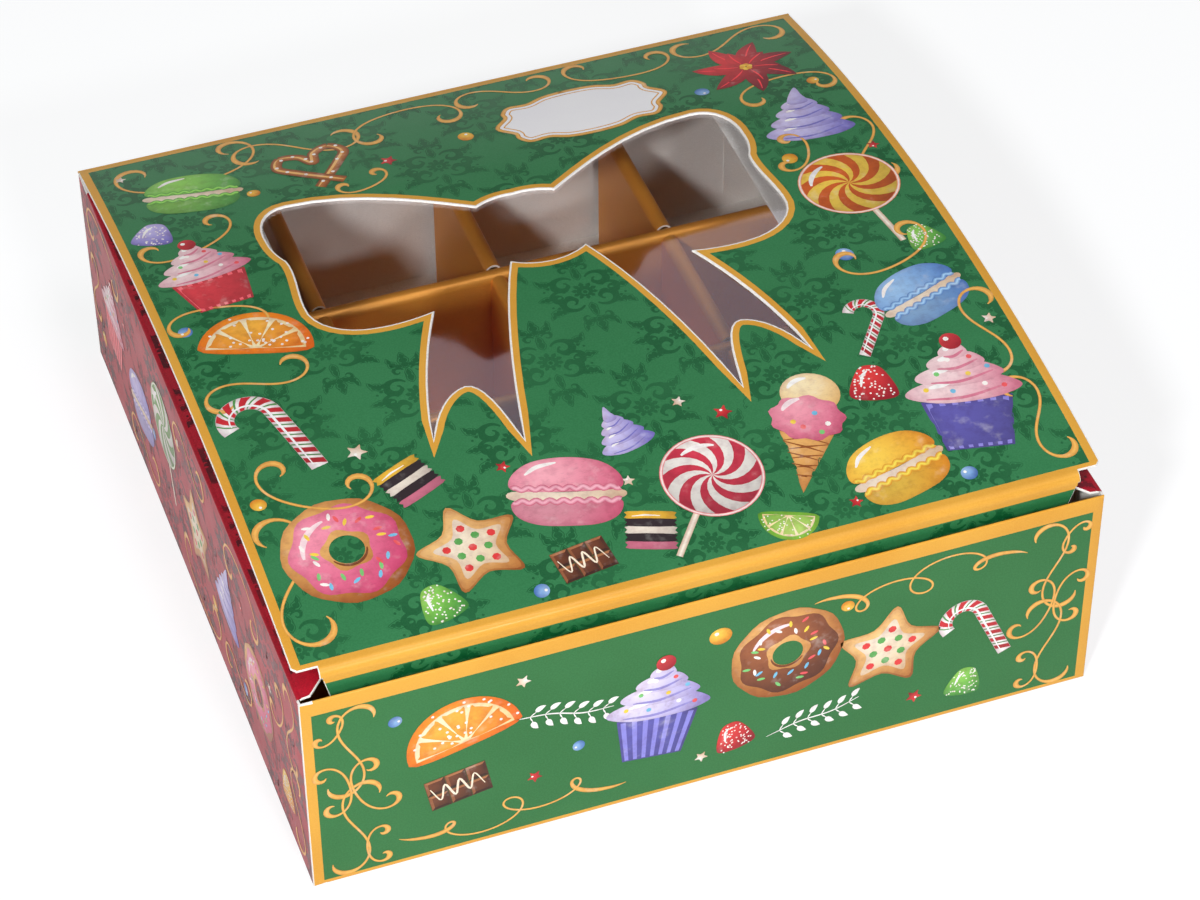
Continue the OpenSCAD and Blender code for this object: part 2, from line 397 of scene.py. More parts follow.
# %% Make the paint
def paint():
    """Watercolour whose tone and rim are read from the points of each shape."""
    material, shader, places = varnished("motif_paint", INK_COAT)
    tone = places.node("Attribute", {"attribute_name": "tone"}, out="Color")
    rim = places.node("Attribute", {"attribute_name": "rim"}, out="Fac")
    wash = places.noise(420, 4, 0.6).ramp(0.4, 0.72)
    pale = places.noise(260, 3, 0.6).ramp(0.52, 0.78)
    brush = places.stretched(1, 3.5, 1).noise(900, 3)
    colour = (wash * 0.35 + rim * 0.25).mix(tone, linear(196, 168, 178), "MULTIPLY")
    colour = (pale * 0.22 * (1 - rim)).mix(colour, linear(255, 250, 244))
    colour = (brush.ramp(0.55, 0.8) * 0.18).mix(colour, linear(120, 90, 110), "MULTIPLY")
    wire(shader, Base_Color=colour)
    return material


motif_paint = paint()
print("Paint nodes:", len(motif_paint.node_tree.nodes))

# %% [markdown]
# ## Gold card and clear film
#
# The insert is card coated in a satin, orange gold that picks up light along its folds. It
# isn't a mirror: a pigment in varnish scatters light, so a third metallic and fairly rough
# is right. Its cut ends show white. The film is seen by its reflections and its dust alone.

# %% Make the gold card
def gold_card(name, end_axis):
    """Satin gold card whose cut ends, which face along one axis, show the white core."""
    material, shader, places = new_finish(name)
    normal = Field(places.socket.node.outputs["Normal"])
    facing = normal.node("SeparateXYZ", None, {"Vector": normal}, out=end_axis)
    end = abs(facing) > 0.9
    flake = places.noise(5200, 1).ramp(0.35, 0.65)
    cloud = places.noise(55, 3)
    gold = (flake * 0.4 + cloud * 0.6).mix(linear(220, 136, 40), linear(250, 180, 76))
    wire(shader, Base_Color=end.mix(gold, linear(250, 247, 242)), Metallic=(1 - end) * 0.35,
         Roughness=0.34 + 0.14 * cloud + end * 0.3,
         Normal=(flake * 0.3 + cloud * 4).bump(20 * MICRON, 0.6))
    return material


card_along = gold_card("gold_card_x", "X")
card_across = gold_card("gold_card_y", "Y")
print("Gold card for ridges along X and along Y:", card_along.name, card_across.name)

# %% Make the clear film
def clear_film():
    """Clear film: a mirror at a glance, plain clear from above, with dust and faint ripples."""
    material, shader, places = new_finish("clear_film", Roughness=0.04, Metallic=1.0,
                                          Base_Color=linear(250, 248, 255))
    ripple = (places.noise(14, 1) + 0.1 * places.noise(70, 1)).bump(2 * MM, 0.25)
    grazing = ripple.node("LayerWeight", None, {"Blend": 0.5, "Normal": ripple}, out="Facing")
    glance = grazing.math("POWER", grazing, 5.0)
    dust = places.noise(GRAIN_SCALE, 1).ramp(0.74, 0.79) * 0.3
    shine = glance * 0.85 + dust + 0.1
    clear = shine.node("BsdfTransparent", None, {"Color": (0.98, 0.98, 0.985, 1)})
    wire(shader, Normal=ripple)
    both = shine.node("MixShader", None, {0: shine, 1: clear, 2: Field(shader.outputs["BSDF"])})
    output = material.node_tree.nodes["Material Output"]
    wire(output, Surface=both)
    return material


film = clear_film()
print("Film made of", len(film.node_tree.nodes), "nodes")

# %% [markdown]
# ## The sizes that the shapes share
#
# All the shapes below are drawn in millimetres. The numbers repeat the CAD model's, because
# a print has to know where the arch of the lid, its fold and its window are. The arch is a
# circle through the back crease that meets the rounded front fold without a kink. Places
# like the hinge and the middle of the fold are pairs of y and z. A panel that turns begins
# a little way off its crease, at its root.

# %% Repeat the carton's sizes
HALF_W, HALF_D, WALL_H, BOARD = 90.0, 91.5, 56.0, 0.5
INNER_W, INNER_D = HALF_W - BOARD, HALF_D - BOARD
BEAD, ROOT = 0.30, 0.42
ARCH_R, FOLD_R, NOTCH, TUCK_GAP = 450.0, 2.0, 5.3, 1.2
HINGE_RISE, LID_RISE = 0.5, 6.0
HINGE = np.array([HALF_D - BEAD, WALL_H + HINGE_RISE])
FOLD = np.array([TUCK_GAP + FOLD_R - INNER_D, HINGE[1] + LID_RISE - FOLD_R])


def arch_centre():
    """Centre of the lid's arch as (y, z)."""
    to_fold, to_hinge = ARCH_R - FOLD_R, ARCH_R - BOARD / 2
    span = np.linalg.norm(HINGE - FOLD)
    along = (HINGE - FOLD) / span
    foot = (to_fold**2 - to_hinge**2 + span**2) / (2 * span)
    drop = math.sqrt(to_fold**2 - foot**2)
    return FOLD + foot * along + drop * np.array([along[1], -along[0]])


ARCH = arch_centre()
FRONT_NORMAL = (FOLD - ARCH) / (ARCH_R - FOLD_R)
BACK_NORMAL = (HINGE - ARCH) / (ARCH_R - BOARD / 2)
LEAN, SLOPE = math.radians(7), math.radians(8)
TUCK_NORMAL = np.array([-math.cos(LEAN), -math.sin(LEAN)])
TUCK_CREASE = FOLD + (FOLD_R - BOARD / 2) * TUCK_NORMAL
LID_FRONT = ARCH[0] + ARCH_R * FRONT_NORMAL[0]
LID_BACK = ARCH[0] + ARCH_R * math.sin(math.asin(BACK_NORMAL[0]) - ROOT / ARCH_R)
print("Arch centre", ARCH.round(2), "lid from y", round(LID_FRONT, 2), "to", round(LID_BACK, 2))

# %% [markdown]
# ## Sheets
#
# A print is flat, but the faces it lies on stand at many angles and one of them is bent. A
# sheet is a small function that takes flat points u and v, as seen from outside with u to
# the right and v up, and returns their places and the outward normals there.

# %% Lay out the sheets
def flat_sheet(origin, across, up):
    origin, across, up = (np.array(value, float) for value in (origin, across, up))
    normal = np.cross(across, up)

    def place(uv):
        points = origin + uv[:, :1] * across + uv[:, 1:] * up
        return points, np.broadcast_to(normal, points.shape)
    return place


def lid_sheet(uv):
    """The arched lid: u is x and v is y. In front of it the sheet goes on round the fold."""
    x, v = uv[:, 0], uv[:, 1]
    lean = np.arcsin((v - ARCH[0]) / ARCH_R)
    turn = math.atan2(FRONT_NORMAL[1], FRONT_NORMAL[0]) + np.maximum(LID_FRONT - v, 0) / FOLD_R
    on_fold = v < LID_FRONT
    ny = np.where(on_fold, np.cos(turn), np.sin(lean))
    nz = np.where(on_fold, np.sin(turn), np.cos(lean))
    y = np.where(on_fold, FOLD[0] + FOLD_R * ny, ARCH[0] + ARCH_R * ny)
    z = np.where(on_fold, FOLD[1] + FOLD_R * nz, ARCH[1] + ARCH_R * nz)
    return np.stack([x, y, z], 1), np.stack([0 * x, ny, nz], 1)


front_sheet = flat_sheet((0, -HALF_D, 0), (1, 0, 0), (0, 0, 1))
back_sheet = flat_sheet((0, HALF_D, 0), (-1, 0, 0), (0, 0, 1))
left_sheet = flat_sheet((-HALF_W, 0, 0), (0, -1, 0), (0, 0, 1))
right_sheet = flat_sheet((HALF_W, 0, 0), (0, 1, 0), (0, 0, 1))
bottom_sheet = flat_sheet((0, 0, 0), (1, 0, 0), (0, -1, 0))
print("Top of the lid:", lid_sheet(np.array([[0.0, ARCH[0]]]))[0].round(2))

# %% Lay out the sheets of the three flaps
def flap_sheet(crease, outward, across, up):
    """The outer face of a flap, whose middle plane runs through its crease."""
    outward = np.array(outward)
    return flat_sheet(np.array(crease) + outward * BOARD / 2, across, up)


FLAT_SHARE, RISE_SHARE = math.cos(SLOPE), math.sin(SLOPE)
tuck_sheet = flap_sheet((0, *TUCK_CREASE), (0, *TUCK_NORMAL), (1, 0, 0),
                        (0, -math.sin(LEAN), math.cos(LEAN)))
dust_left_sheet = flap_sheet((BEAD - HALF_W, 0, WALL_H), (-RISE_SHARE, 0, FLAT_SHARE),
                             (FLAT_SHARE, 0, RISE_SHARE), (0, 1, 0))
dust_right_sheet = flap_sheet((HALF_W - BEAD, 0, WALL_H), (RISE_SHARE, 0, FLAT_SHARE),
                              (-FLAT_SHARE, 0, RISE_SHARE), (0, -1, 0))
print("Tuck crease at", TUCK_CREASE.round(3))

# %% [markdown]
# ## Outlines
#
# The shapes are closed rings of points. A few small tools serve them all: a curve through
# given points, a test of what lies inside, the distance from a ring, an offset with parallel
# sides, and a filler that splits a ring into triangles with points spread inside it.
# Blender's own constrained Delaunay routine does the last one, which also lets other rings
# be pressed into the mesh.

# %% Draw and test rings
def smooth(points, closed=False, steps=8):
    """A Catmull-Rom curve through the points."""
    p = np.array(points, float)
    before, after = (p[-1], p[:2]) if closed else (2 * p[0] - p[1], 2 * p[-1] - p[-2])
    p = np.vstack([before, p, after])
    t = (np.arange(steps) / steps)[:, None]
    out = []
    for a, b, c, d in zip(p, p[1:], p[2:], p[3:]):
        out.append(0.5 * (2 * b + (c - a) * t + (2 * a - 5 * b + 4 * c - d) * t**2
                          + (3 * b - a - 3 * c + d) * t**3))
    curve = np.vstack(out)
    return curve if closed else np.vstack([curve, p[-2]])


def inside(points, ring):
    """True for each point that lies inside the ring."""
    x, y = points[:, :1], points[:, 1:]
    a, b = ring, np.roll(ring, -1, 0)
    crosses = (a[:, 1] > y) != (b[:, 1] > y)
    rise = np.where(b[:, 1] == a[:, 1], 1e-12, b[:, 1] - a[:, 1])
    return (crosses & (x < a[:, 0] + (y - a[:, 1]) * (b[:, 0] - a[:, 0]) / rise)).sum(1) % 2 == 1


def distance_to(points, ring):
    """Distance of each point from the nearest side of a ring."""
    a = ring[None]
    along = np.roll(ring, -1, 0)[None] - a
    rest = points[:, None] - a
    share = np.clip((rest * along).sum(2) / np.maximum((along**2).sum(2), 1e-12), 0, 1)
    return np.linalg.norm(rest - share[..., None] * along, axis=2).min(1)


square = np.array([[0, 0], [10, 0], [10, 10], [0, 10]], float)
print("Inside a square:", inside(np.array([[5.0, 5], [15, 5]]), square))

# %% Offset a ring
def offset(ring, distance, limit=2.4):
    """Moves a counterclockwise ring outward by distance, one for all points or one for each."""
    ahead = np.roll(ring, -1, 0) - ring
    ahead = ahead / np.linalg.norm(ahead, axis=1)[:, None]
    outward = np.stack([ahead[:, 1], -ahead[:, 0]], 1)
    middle = outward + np.roll(outward, 1, 0)
    move = 2 * middle / np.maximum((middle**2).sum(1), 0.05)[:, None]
    move = move * np.minimum(1, limit / np.linalg.norm(move, axis=1))[:, None]
    return ring + move * np.broadcast_to(distance, len(ring))[:, None]


def parallel(ring, distance, limit=2.4):
    """The offset ring without the loops that it makes in tight corners."""
    moved = offset(ring, distance, limit)
    return moved[distance_to(moved, ring) > 0.97 * abs(distance)]


print("A side of 10 grows to", offset(square, 1).max() - offset(square, 1).min())

# %% Fill a ring with triangles
def fill(outline, holes=(), pressed=(), spacing=3.0):
    """Points and triangles of the outline less its holes, with the pressed rings as edges."""
    rings = [np.asarray(ring, float) for ring in (outline, *holes, *pressed)]
    low, high = rings[0].min(0), rings[0].max(0)
    across = np.arange(low[0] + spacing / 2, high[0], spacing)
    up = np.arange(low[1] + spacing / 2, high[1], spacing)
    grid = np.array([(x, y) for y in up for x in across]).reshape(-1, 2)
    if len(grid):
        grid = grid[inside(grid, rings[0])]
    for ring in rings:
        if len(grid):
            grid = grid[distance_to(grid, ring) > 0.35 * spacing]
    points, edges = [], []
    for ring in rings:
        first, size = len(points), len(ring)
        points += [Vector(p) for p in ring.tolist()]
        edges += [(first + i, first + (i + 1) % size) for i in range(size)]
    points += [Vector(p) for p in grid.tolist()]
    made = geometry.delaunay_2d_cdt(points, edges, [], 0, 1e-6)
    at, faces = np.array([tuple(p) for p in made[0]]), np.array(made[2], int)
    middle = at[faces].mean(1)
    kept = inside(middle, rings[0])
    for hole in holes:
        kept &= ~inside(middle, np.asarray(hole, float))
    faces = faces[kept]
    a, b, c = at[faces[:, 0]], at[faces[:, 1]], at[faces[:, 2]]
    turn = (b - a)[:, 0] * (c - a)[:, 1] - (b - a)[:, 1] * (c - a)[:, 0]
    faces[turn < 0] = faces[turn < 0][:, ::-1]
    return at, faces[abs(turn) > 1e-9]


points, faces = fill(square, spacing=3)
print("A square fills with", len(faces), "triangles")

# %% [markdown]
# ## Panels of board
#
# A panel could be a flat plane with a Solidify and a Bevel modifier. Those can't tell a raw
# edge from a wrapped one, though. On the real box the die leaves a white line where it cut,
# while the print runs on round a fold. So each panel is built ring by ring: a printed top,
# a small rounding whose radius may change along the edge, a side and a white back.

# %% Make a mesh
JOIN, SHARP_ANGLE = 0.002, 25


def new_object(name, points, faces, materials, slots=None):
    """A smooth mesh object from points in millimetres."""
    mesh = bpy.data.meshes.new(name)
    mesh.from_pydata((np.asarray(points) * MM).tolist(), [], [list(map(int, f)) for f in faces])
    for material in materials:
        mesh.materials.append(material)
    if slots is not None:
        mesh.polygons.foreach_set("material_index", np.asarray(slots, np.int32))
    mesh.shade_smooth()
    made = bpy.data.objects.new(name, mesh)
    scene.collection.objects.link(made)
    return made


def weld(made):
    """Joins points that lie together and keeps edges sharper than SHARP_ANGLE degrees."""
    work = bmesh.new()
    work.from_mesh(made.data)
    bmesh.ops.remove_doubles(work, verts=work.verts, dist=JOIN * MM)
    bmesh.ops.dissolve_degenerate(work, edges=work.edges, dist=JOIN / 2 * MM)
    work.to_mesh(made.data)
    work.free()
    made.data.set_sharp_from_angle(angle=math.radians(SHARP_ANGLE))


def rectangle(left, right, low, high, step=30.0):
    """A counterclockwise rectangle with points at most a step apart."""
    corners = np.array([[left, low], [right, low], [right, high], [left, high]], float)
    out = []
    for a, b in zip(corners, np.roll(corners, -1, 0)):
        parts = max(1, math.ceil(np.linalg.norm(b - a) / step))
        out += [a + (b - a) * i / parts for i in range(parts)]
    return np.array(out)


print("A 180 by 56 rectangle takes", len(rectangle(-90, 90, 0, 56)), "points")

# %% Build a panel
BARE, GROUND, GOLD = 0, 1, 2
RAW_EDGE, FOLD_EDGE = 0.18, 0.42
HAIR, WHOLE = 0.01, 1000


def hairline(left, right, low, high):
    """A thin ring along a line, to be pressed into a panel where its print changes."""
    return rectangle(left, right, low, high, WHOLE)


def edge_rings(ring, radius, sign):
    """Rings of a rounded edge as (points, depth) from the printed face down to the side."""
    for step in np.radians([0, 30, 60, 90]):
        yield offset(ring, sign * radius * (1 - math.sin(step))), radius * (1 - math.cos(step))


def panel(name, sheet, outline, zones, materials, holes=(), wrapped=None, pressed=(),
          fold=FOLD_EDGE, spacing=5.0):
    """A piece of board. zones(points) gives the material slot of each place on the print, and
    wrapped(points) is True where the print runs on round the edge."""
    rings = [np.asarray(ring, float) for ring in (outline, *holes)]
    round_off = wrapped or (lambda p: np.zeros(len(p), bool))
    places, all_faces, slots, count = [], [], [], 0

    def add(uv, depth, faces, face_slots):
        nonlocal count
        at, normal = sheet(uv)
        places.append(at - normal * np.broadcast_to(depth, len(uv))[:, None])
        all_faces.extend((np.asarray(faces) + count).tolist())
        slots.extend(np.broadcast_to(face_slots, len(faces)).tolist())
        count += len(uv)

    radii = [np.where(round_off(ring), fold, RAW_EDGE) for ring in rings]
    tops = [offset(ring, -r if k == 0 else r) for k, (ring, r) in enumerate(zip(rings, radii))]
    uv, faces = fill(tops[0], tops[1:], pressed, spacing)
    add(uv, 0, faces, zones(uv[faces].mean(1)))
    uv, faces = fill(rings[0], rings[1:], (), spacing)
    add(uv, BOARD, faces[:, ::-1], BARE)
    for k, (ring, radius) in enumerate(zip(rings, radii)):
        levels = [*edge_rings(ring, radius, -1 if k == 0 else 1), (ring, BOARD)]
        size, here = len(ring), np.arange(len(ring))
        after = (here + 1) % size
        inner = ring + (ring.mean(0) - ring) * 0.002
        printed_edge = round_off(ring) & round_off(np.roll(ring, -1, 0))
        slot = np.where(printed_edge, zones(inner), BARE)
        for (upper, high), (lower, low) in zip(levels, levels[1:]):
            quads = np.stack([here, here + size, after + size, after], 1)
            depth = np.concatenate([np.broadcast_to(high, size), np.broadcast_to(low, size)])
            add(np.vstack([upper, lower]), depth, quads if k == 0 else quads[:, ::-1], slot)
    made = new_object(name, np.vstack(places), all_faces, materials, slots)
    weld(made)
    return made


print("A raw edge is rounded by", RAW_EDGE, "mm and a fold by", FOLD_EDGE, "mm")

# %% [markdown]
# ## The lid
#
# The lid is the first thing that one sees: an arched sheet with a die-cut bow. Its print has
# a gold border, a gold rim round the window, and a band of bare white along the window's cut
# edge: the white of the cut, painted wider on the print as a painted highlight of that edge.
# The border runs on over the rounded front fold, so panel and fold are one mesh here. It
# stops short of both front corners, where the board is notched.

# %% Draw the bow
BOW_DRAWN_W, BOW_W, BOW_Y, BOW_STEPS = 116.4, 116, 23.5, 8
BOW_HALF = [
    (0, 14), (4, 14.5), (7, 13.5), (9.5, 12), (17, 17), (33, 30), (50, 30), (56, 30),
    (58.5, 23.5), (58, 17), (58, 14), (57.5, 11), (56, 8), (55, 2.5), (57, -4.5),
    (57, -10.5), (57.5, -18), (51, -22.5), (44, -23), (40, -23.5), (35, -23), (30.5, -22),
    (35.5, -32.5), (40.5, -45.5), (43.5, -61.5), (41, -54.5), (36.5, -48.5), (32, -48),
    (28, -48), (26.5, -57.5), (25, -67.5), (21.5, -47.5), (15, -24.5), (9, -11),
    (6.5, -13), (3, -14), (0, -14),
]


def bow_ring():
    """The window's outline, counterclockwise, from the CAD model's own curves."""
    points = np.array(BOW_HALF, float)
    t = (np.arange(BOW_STEPS) / BOW_STEPS)[:, None]
    curves = [points[i] * (1 - t)**3 + 3 * points[i + 1] * t * (1 - t)**2
              + 3 * points[i + 2] * t**2 * (1 - t) + points[i + 3] * t**3
              for i in range(0, len(points) - 1, 3)]
    half = np.vstack([*curves, points[-1:]])
    other = half[1:-1][::-1] * (-1, 1)
    return np.vstack([half, other])[::-1] * BOW_W / BOW_DRAWN_W + (0, BOW_Y)


BOW = bow_ring()
# The second ring bounds a narrow band of bare white along the window's edge: the white of the cut
# face, painted wider on the print as a painted highlight.
RIM, CUT_AND_HIGHLIGHT_RING = parallel(BOW, 1.9, 2.8), parallel(BOW, 0.45)
print("Bow:", len(BOW), "points,", np.ptp(BOW, 0).round(1), "mm")

# %% Build the lid
FOLD_LENGTH = FOLD_R * (math.pi + LEAN - math.atan2(FRONT_NORMAL[1], FRONT_NORMAL[0]))
BORDER_SIDE, BORDER_BACK, BORDER_FRONT = HALF_W - 2.1, HINGE[0] - 1.9, -86.9
FOLD_HALF, CORNER_CUT = HALF_W - NOTCH, 1


def lid_outline():
    """The lid with its fold laid out flat, counterclockwise from the fold's right end."""
    front = LID_FRONT - FOLD_LENGTH
    steps = [front + FOLD_LENGTH * share for share in (0, 0.25, 0.5, 0.75)]
    right = [(FOLD_HALF, v) for v in [*steps, LID_FRONT]]
    right += [(HALF_W - CORNER_CUT, LID_FRONT), (HALF_W, LID_FRONT + CORNER_CUT)]
    right += [(HALF_W, y) for y in np.linspace(-80, LID_BACK, 40)]
    return np.array(right + [(-x, v) for x, v in right[::-1]], float)


def lid_zones(p):
    """Gold on the border and round the window, green elsewhere, and bare white board in a narrow
    band along the window's edge: the white of the cut, painted wider as a painted highlight."""
    edge = (abs(p[:, 0]) > BORDER_SIDE) | (p[:, 1] > BORDER_BACK) | (p[:, 1] < BORDER_FRONT)
    return np.where(inside(p, CUT_AND_HIGHLIGHT_RING), BARE, np.where(edge | inside(p, RIM), GOLD, GROUND))


border = rectangle(-BORDER_SIDE, BORDER_SIDE, BORDER_FRONT, BORDER_BACK, 4)
fold_lines = [hairline(0.2 - FOLD_HALF, FOLD_HALF - 0.2, v, v + HAIR)
              for v in LID_FRONT - np.linspace(0, FOLD_LENGTH - 0.3, 9)]
lid = panel("lid", lid_sheet, lid_outline(), lid_zones, [white_board, green_print, gold_print],
            holes=[BOW], pressed=[border, RIM, CUT_AND_HIGHLIGHT_RING, *fold_lines], spacing=3.6)
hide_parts("lid_panel", "front_fold")
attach(lid, "lid")
print("Lid:", len(lid.data.polygons), "faces")

# %% [markdown]
# ## The tray
#
# The walls are folded up from the bottom, so the print wraps round their lower and upper
# edges and round the right-hand end of the front and back walls. Only the left end of those
# two is a raw edge: it shows as a white line down the corner. Side walls carry no border.

# %% Build the walls
WALL_SIDE, WALL_LOW, WALL_TOP = HALF_W - 2.4, 1.2, WALL_H - 4.0
BACK_TOP, AT_END = WALL_H + 0.3, 0.02


def wall_zones(p):
    """Gold on the border of the front or back wall and green inside it."""
    edge = (abs(p[:, 0]) > WALL_SIDE) | (p[:, 1] < WALL_LOW) | (p[:, 1] > WALL_TOP)
    return np.where(edge, GOLD, GROUND)


def long_wall(name, sheet, node, top):
    """The front or the back wall. Its left end, as seen from outside, is raw."""
    inner = rectangle(-WALL_SIDE, WALL_SIDE, WALL_LOW, WALL_TOP, 12)
    made = panel(name, sheet, rectangle(-HALF_W, HALF_W, 0, top, 3), wall_zones,
                 [white_board, front_green, gold_print], pressed=[inner], spacing=9,
                 wrapped=lambda p: p[:, 0] > AT_END - HALF_W)
    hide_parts(node)
    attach(made, "tray")
    return made


def side_panel(name, sheet, node):
    """The left or the right wall, which stands between the other two with both ends raw."""
    made = panel(name, sheet, rectangle(-INNER_D, INNER_D, 0, WALL_H, 12),
                 lambda p: np.full(len(p), GROUND), [white_board, red_print],
                 wrapped=lambda p: abs(p[:, 0]) < INNER_D - AT_END, spacing=9, fold=0.4)
    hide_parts(node)
    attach(made, "tray")
    return made


walls = [long_wall("front_panel", front_sheet, "front_wall", WALL_H),
         long_wall("back_panel", back_sheet, "back_wall", BACK_TOP),
         side_panel("left_panel", left_sheet, "left_wall"),
         side_panel("right_panel", right_sheet, "right_wall")]
base = panel("base_panel", bottom_sheet, rectangle(-INNER_W, INNER_W, -INNER_D, INNER_D, 15),
             lambda p: np.full(len(p), BARE), [white_board], spacing=12)
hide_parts("bottom_panel")
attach(base, "tray")
print("Faces of the walls:", [len(wall.data.polygons) for wall in walls])

# %% [markdown]
# ## The flaps
#
# The tuck flap hangs from the front fold and slides in behind the front wall. Two dust flaps
# turn in from the side walls under the lid. Their outlines are the CAD model's. The print
# covers the tuck flap's outer face, gold next to the fold and green below. On a dust flap it
# ends 20 mm from the crease, so that only pale board shows at the ends of the window. All
# their edges are raw and white.

# %% Outline the flaps
TUCK_HALF, TUCK_SIDE = FOLD_HALF - 0.6, FOLD_HALF - 0.65
DUST_FRONT, DUST_EDGE, DUST_BACK = 1 - INNER_D, TUCK_GAP + 3.4 - INNER_D, HINGE[0] - 8


def corner(centre, radius, start, end, steps=8):
    """Points of an arc, with angles in degrees."""
    a = np.radians(np.linspace(start, end, steps + 1))
    return [(centre[0] + radius * math.cos(v), centre[1] + radius * math.sin(v)) for v in a]


def tuck_ring(length=18.0, taper=4.0, radius=4.0):
    """The tuck flap as seen from in front, with its crease at v = 0."""
    side = math.degrees(math.atan(taper / length))
    low = length - radius
    x = TUCK_HALF - taper * low / length - radius / math.cos(math.radians(side))
    curve = corner((x, -low), radius, -side, -90)
    right = [(TUCK_HALF, -ROOT), *curve]
    return np.array([*right, *[(-u, v) for u, v in right[::-1]]], float)[::-1]


def dust_ring(reach=34.0, ear=2.6, radius=4.0, front_taper=5.0, back_taper=26.0):
    """A dust flap: u is the reach from its crease and v is the carton's y."""
    cut = DUST_EDGE - DUST_FRONT
    a = math.atan(front_taper / (reach - ear - cut))
    b = math.atan(back_taper / reach)
    x = reach - radius
    y1 = DUST_EDGE + front_taper - radius * math.tan(a) + radius / math.cos(a)
    y2 = DUST_BACK - back_taper + radius * math.tan(b) - radius / math.cos(b)
    first = corner((x, y1), radius, math.degrees(a) - 90, 0)
    second = corner((x, y2), radius, 0, 90 - math.degrees(b))
    return np.array([(ROOT, DUST_FRONT), (ear, DUST_FRONT), (ear + cut, DUST_EDGE), *first,
                     *second, (ROOT, DUST_BACK)])


def mirrored(ring, flip):
    """The ring itself, or its mirror image where flip is -1, both counterclockwise."""
    return ring if flip > 0 else (ring * (1, flip))[::-1]


DUST = dust_ring()
print("Dust flap outline:", len(DUST), "points")

# %% Build the flaps
TUCK_BAND, BLEED, BLEED_LOW, BLEED_HIGH = -1.8, 20.0, -83.6, 67.5
DUST_SIDES = (("left", dust_left_sheet, 1), ("right", dust_right_sheet, -1))

tuck_line = hairline(-TUCK_SIDE, TUCK_SIDE, TUCK_BAND, TUCK_BAND + HAIR)
tuck = panel("tuck", tuck_sheet, tuck_ring(),
             lambda p: np.where(p[:, 1] > TUCK_BAND, GOLD, GROUND),
             [white_board, green_print, gold_print], pressed=[tuck_line])
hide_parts("tuck_flap")
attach(tuck, "tuck")
bleed_line = hairline(BLEED, BLEED + HAIR, BLEED_LOW, BLEED_HIGH)
for side, sheet, flip in DUST_SIDES:
    made = panel(f"dust_{side}_board", sheet, mirrored(DUST, flip),
                 lambda p: np.where(p[:, 0] < BLEED, GROUND, BARE), [white_board, red_print],
                 pressed=[bleed_line * (1, flip)], spacing=6)
    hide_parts(f"dust_flap_{side}")
    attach(made, f"dust_{side}")
print("Flaps built:", 1 + len(DUST_SIDES))

# %% [markdown]
# ## Creases
#
# The CAD model has a thin running gap round each crease, so that its solids can turn. On the
# box the board runs on unbroken. A narrow strip bridges each gap, as the outer paper does.

# %% Bridge the creases
STRIP_R, STRIP_LIFT = BEAD - 0.01, 0.012


def crease(name, path, along, low, high, bodies, material):
    """A strip along a crease. path is its section, from the first body to the second. bodies is not
    used.
    """
    path, along = np.array(path, float), np.array(along, float)
    points = np.vstack([path + along * low, path + along * high])
    size = len(path)
    faces = [(i, i + 1, i + 1 + size, i + size) for i in range(size - 1)]
    made = new_object(name, points, faces, [material])
    tuple(path[1] * MM)
    tuple(path[-2] * MM)
    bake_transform(made)
    return made


def back_crease():
    """From the back wall, round the hinge, to the tail of the lid."""
    lean = math.degrees(math.atan2(BACK_NORMAL[1], BACK_NORMAL[0]))
    tail, normal = lid_sheet(np.array([[0, LID_BACK - 0.3]]))
    path = [(HALF_D + STRIP_LIFT, HINGE[1] - 0.55), *corner(HINGE, STRIP_R, 0, lean),
            (tail + STRIP_LIFT * normal)[0, 1:]]
    return crease("back_crease", [(0, y, z) for y, z in path], (1, 0, 0), -HALF_W, HALF_W,
                  ("tray", "lid"), gold_print)


def tuck_crease():
    """From the end of the front fold to the top of the tuck flap."""
    fold = lid_sheet(np.array([[0, LID_FRONT - FOLD_LENGTH + v] for v in (0.9, 0.6, 0.3, 0)]))
    flap = tuck_sheet(np.array([[0, -v] for v in (0.3, 0.6, 0.9)]))
    path = [p + STRIP_LIFT * n for sheet in (fold, flap) for p, n in zip(*sheet)]
    return crease("tuck_crease_strip", path, (1, 0, 0), -TUCK_SIDE, TUCK_SIDE,
                  ("lid", "tuck"), gold_print)


def dust_crease(side, sign):
    """From the top of a side wall to its flap. In the section, x reaches in from the crease."""
    along, lift = 0.8, BOARD / 2 + STRIP_LIFT
    end = (along * FLAT_SHARE - lift * RISE_SHARE,
           WALL_H + along * RISE_SHARE + lift * FLAT_SHARE)
    path = [(-BEAD - 0.01, WALL_H - 0.55),
            *corner((0, WALL_H), STRIP_R, 180, 90 + math.degrees(SLOPE)), end]
    path = [(sign * (HALF_W - BEAD) - sign * x, 0, z) for x, z in path]
    ends = (DUST_FRONT, DUST_BACK) if sign < 0 else (-DUST_BACK, -DUST_FRONT)
    return crease(f"dust_crease_{side}_strip", path, (0, -sign, 0), *ends,
                  ("tray", f"dust_{side}"), red_print)


strips = [back_crease(), tuck_crease(), dust_crease("left", -1), dust_crease("right", 1)]
print("Crease strips:", [strip.name for strip in strips])

# %% [markdown]
# ## Ink
#
# An image texture would be the usual way to put a print on a carton. Here every printed
# shape is real geometry, some hundredths of a millimetre above the board: thin lines, leaves
# and motifs as flat triangles that follow the sheet they lie on. They stay sharp at any
# zoom, and each point carries its own tone, which gives soft gradients inside a shape.

# %% Gather ink on a sheet
LEVELS_PER_MM = 100
DAMASK_LEVEL, SCROLL_LEVEL, CONFETTI_LEVEL, LABEL_LEVEL, SWEET_LEVEL, LINE_LEVEL = (
    1.2, 3.0, 4.0, 4.5, 5.0, 5.5)


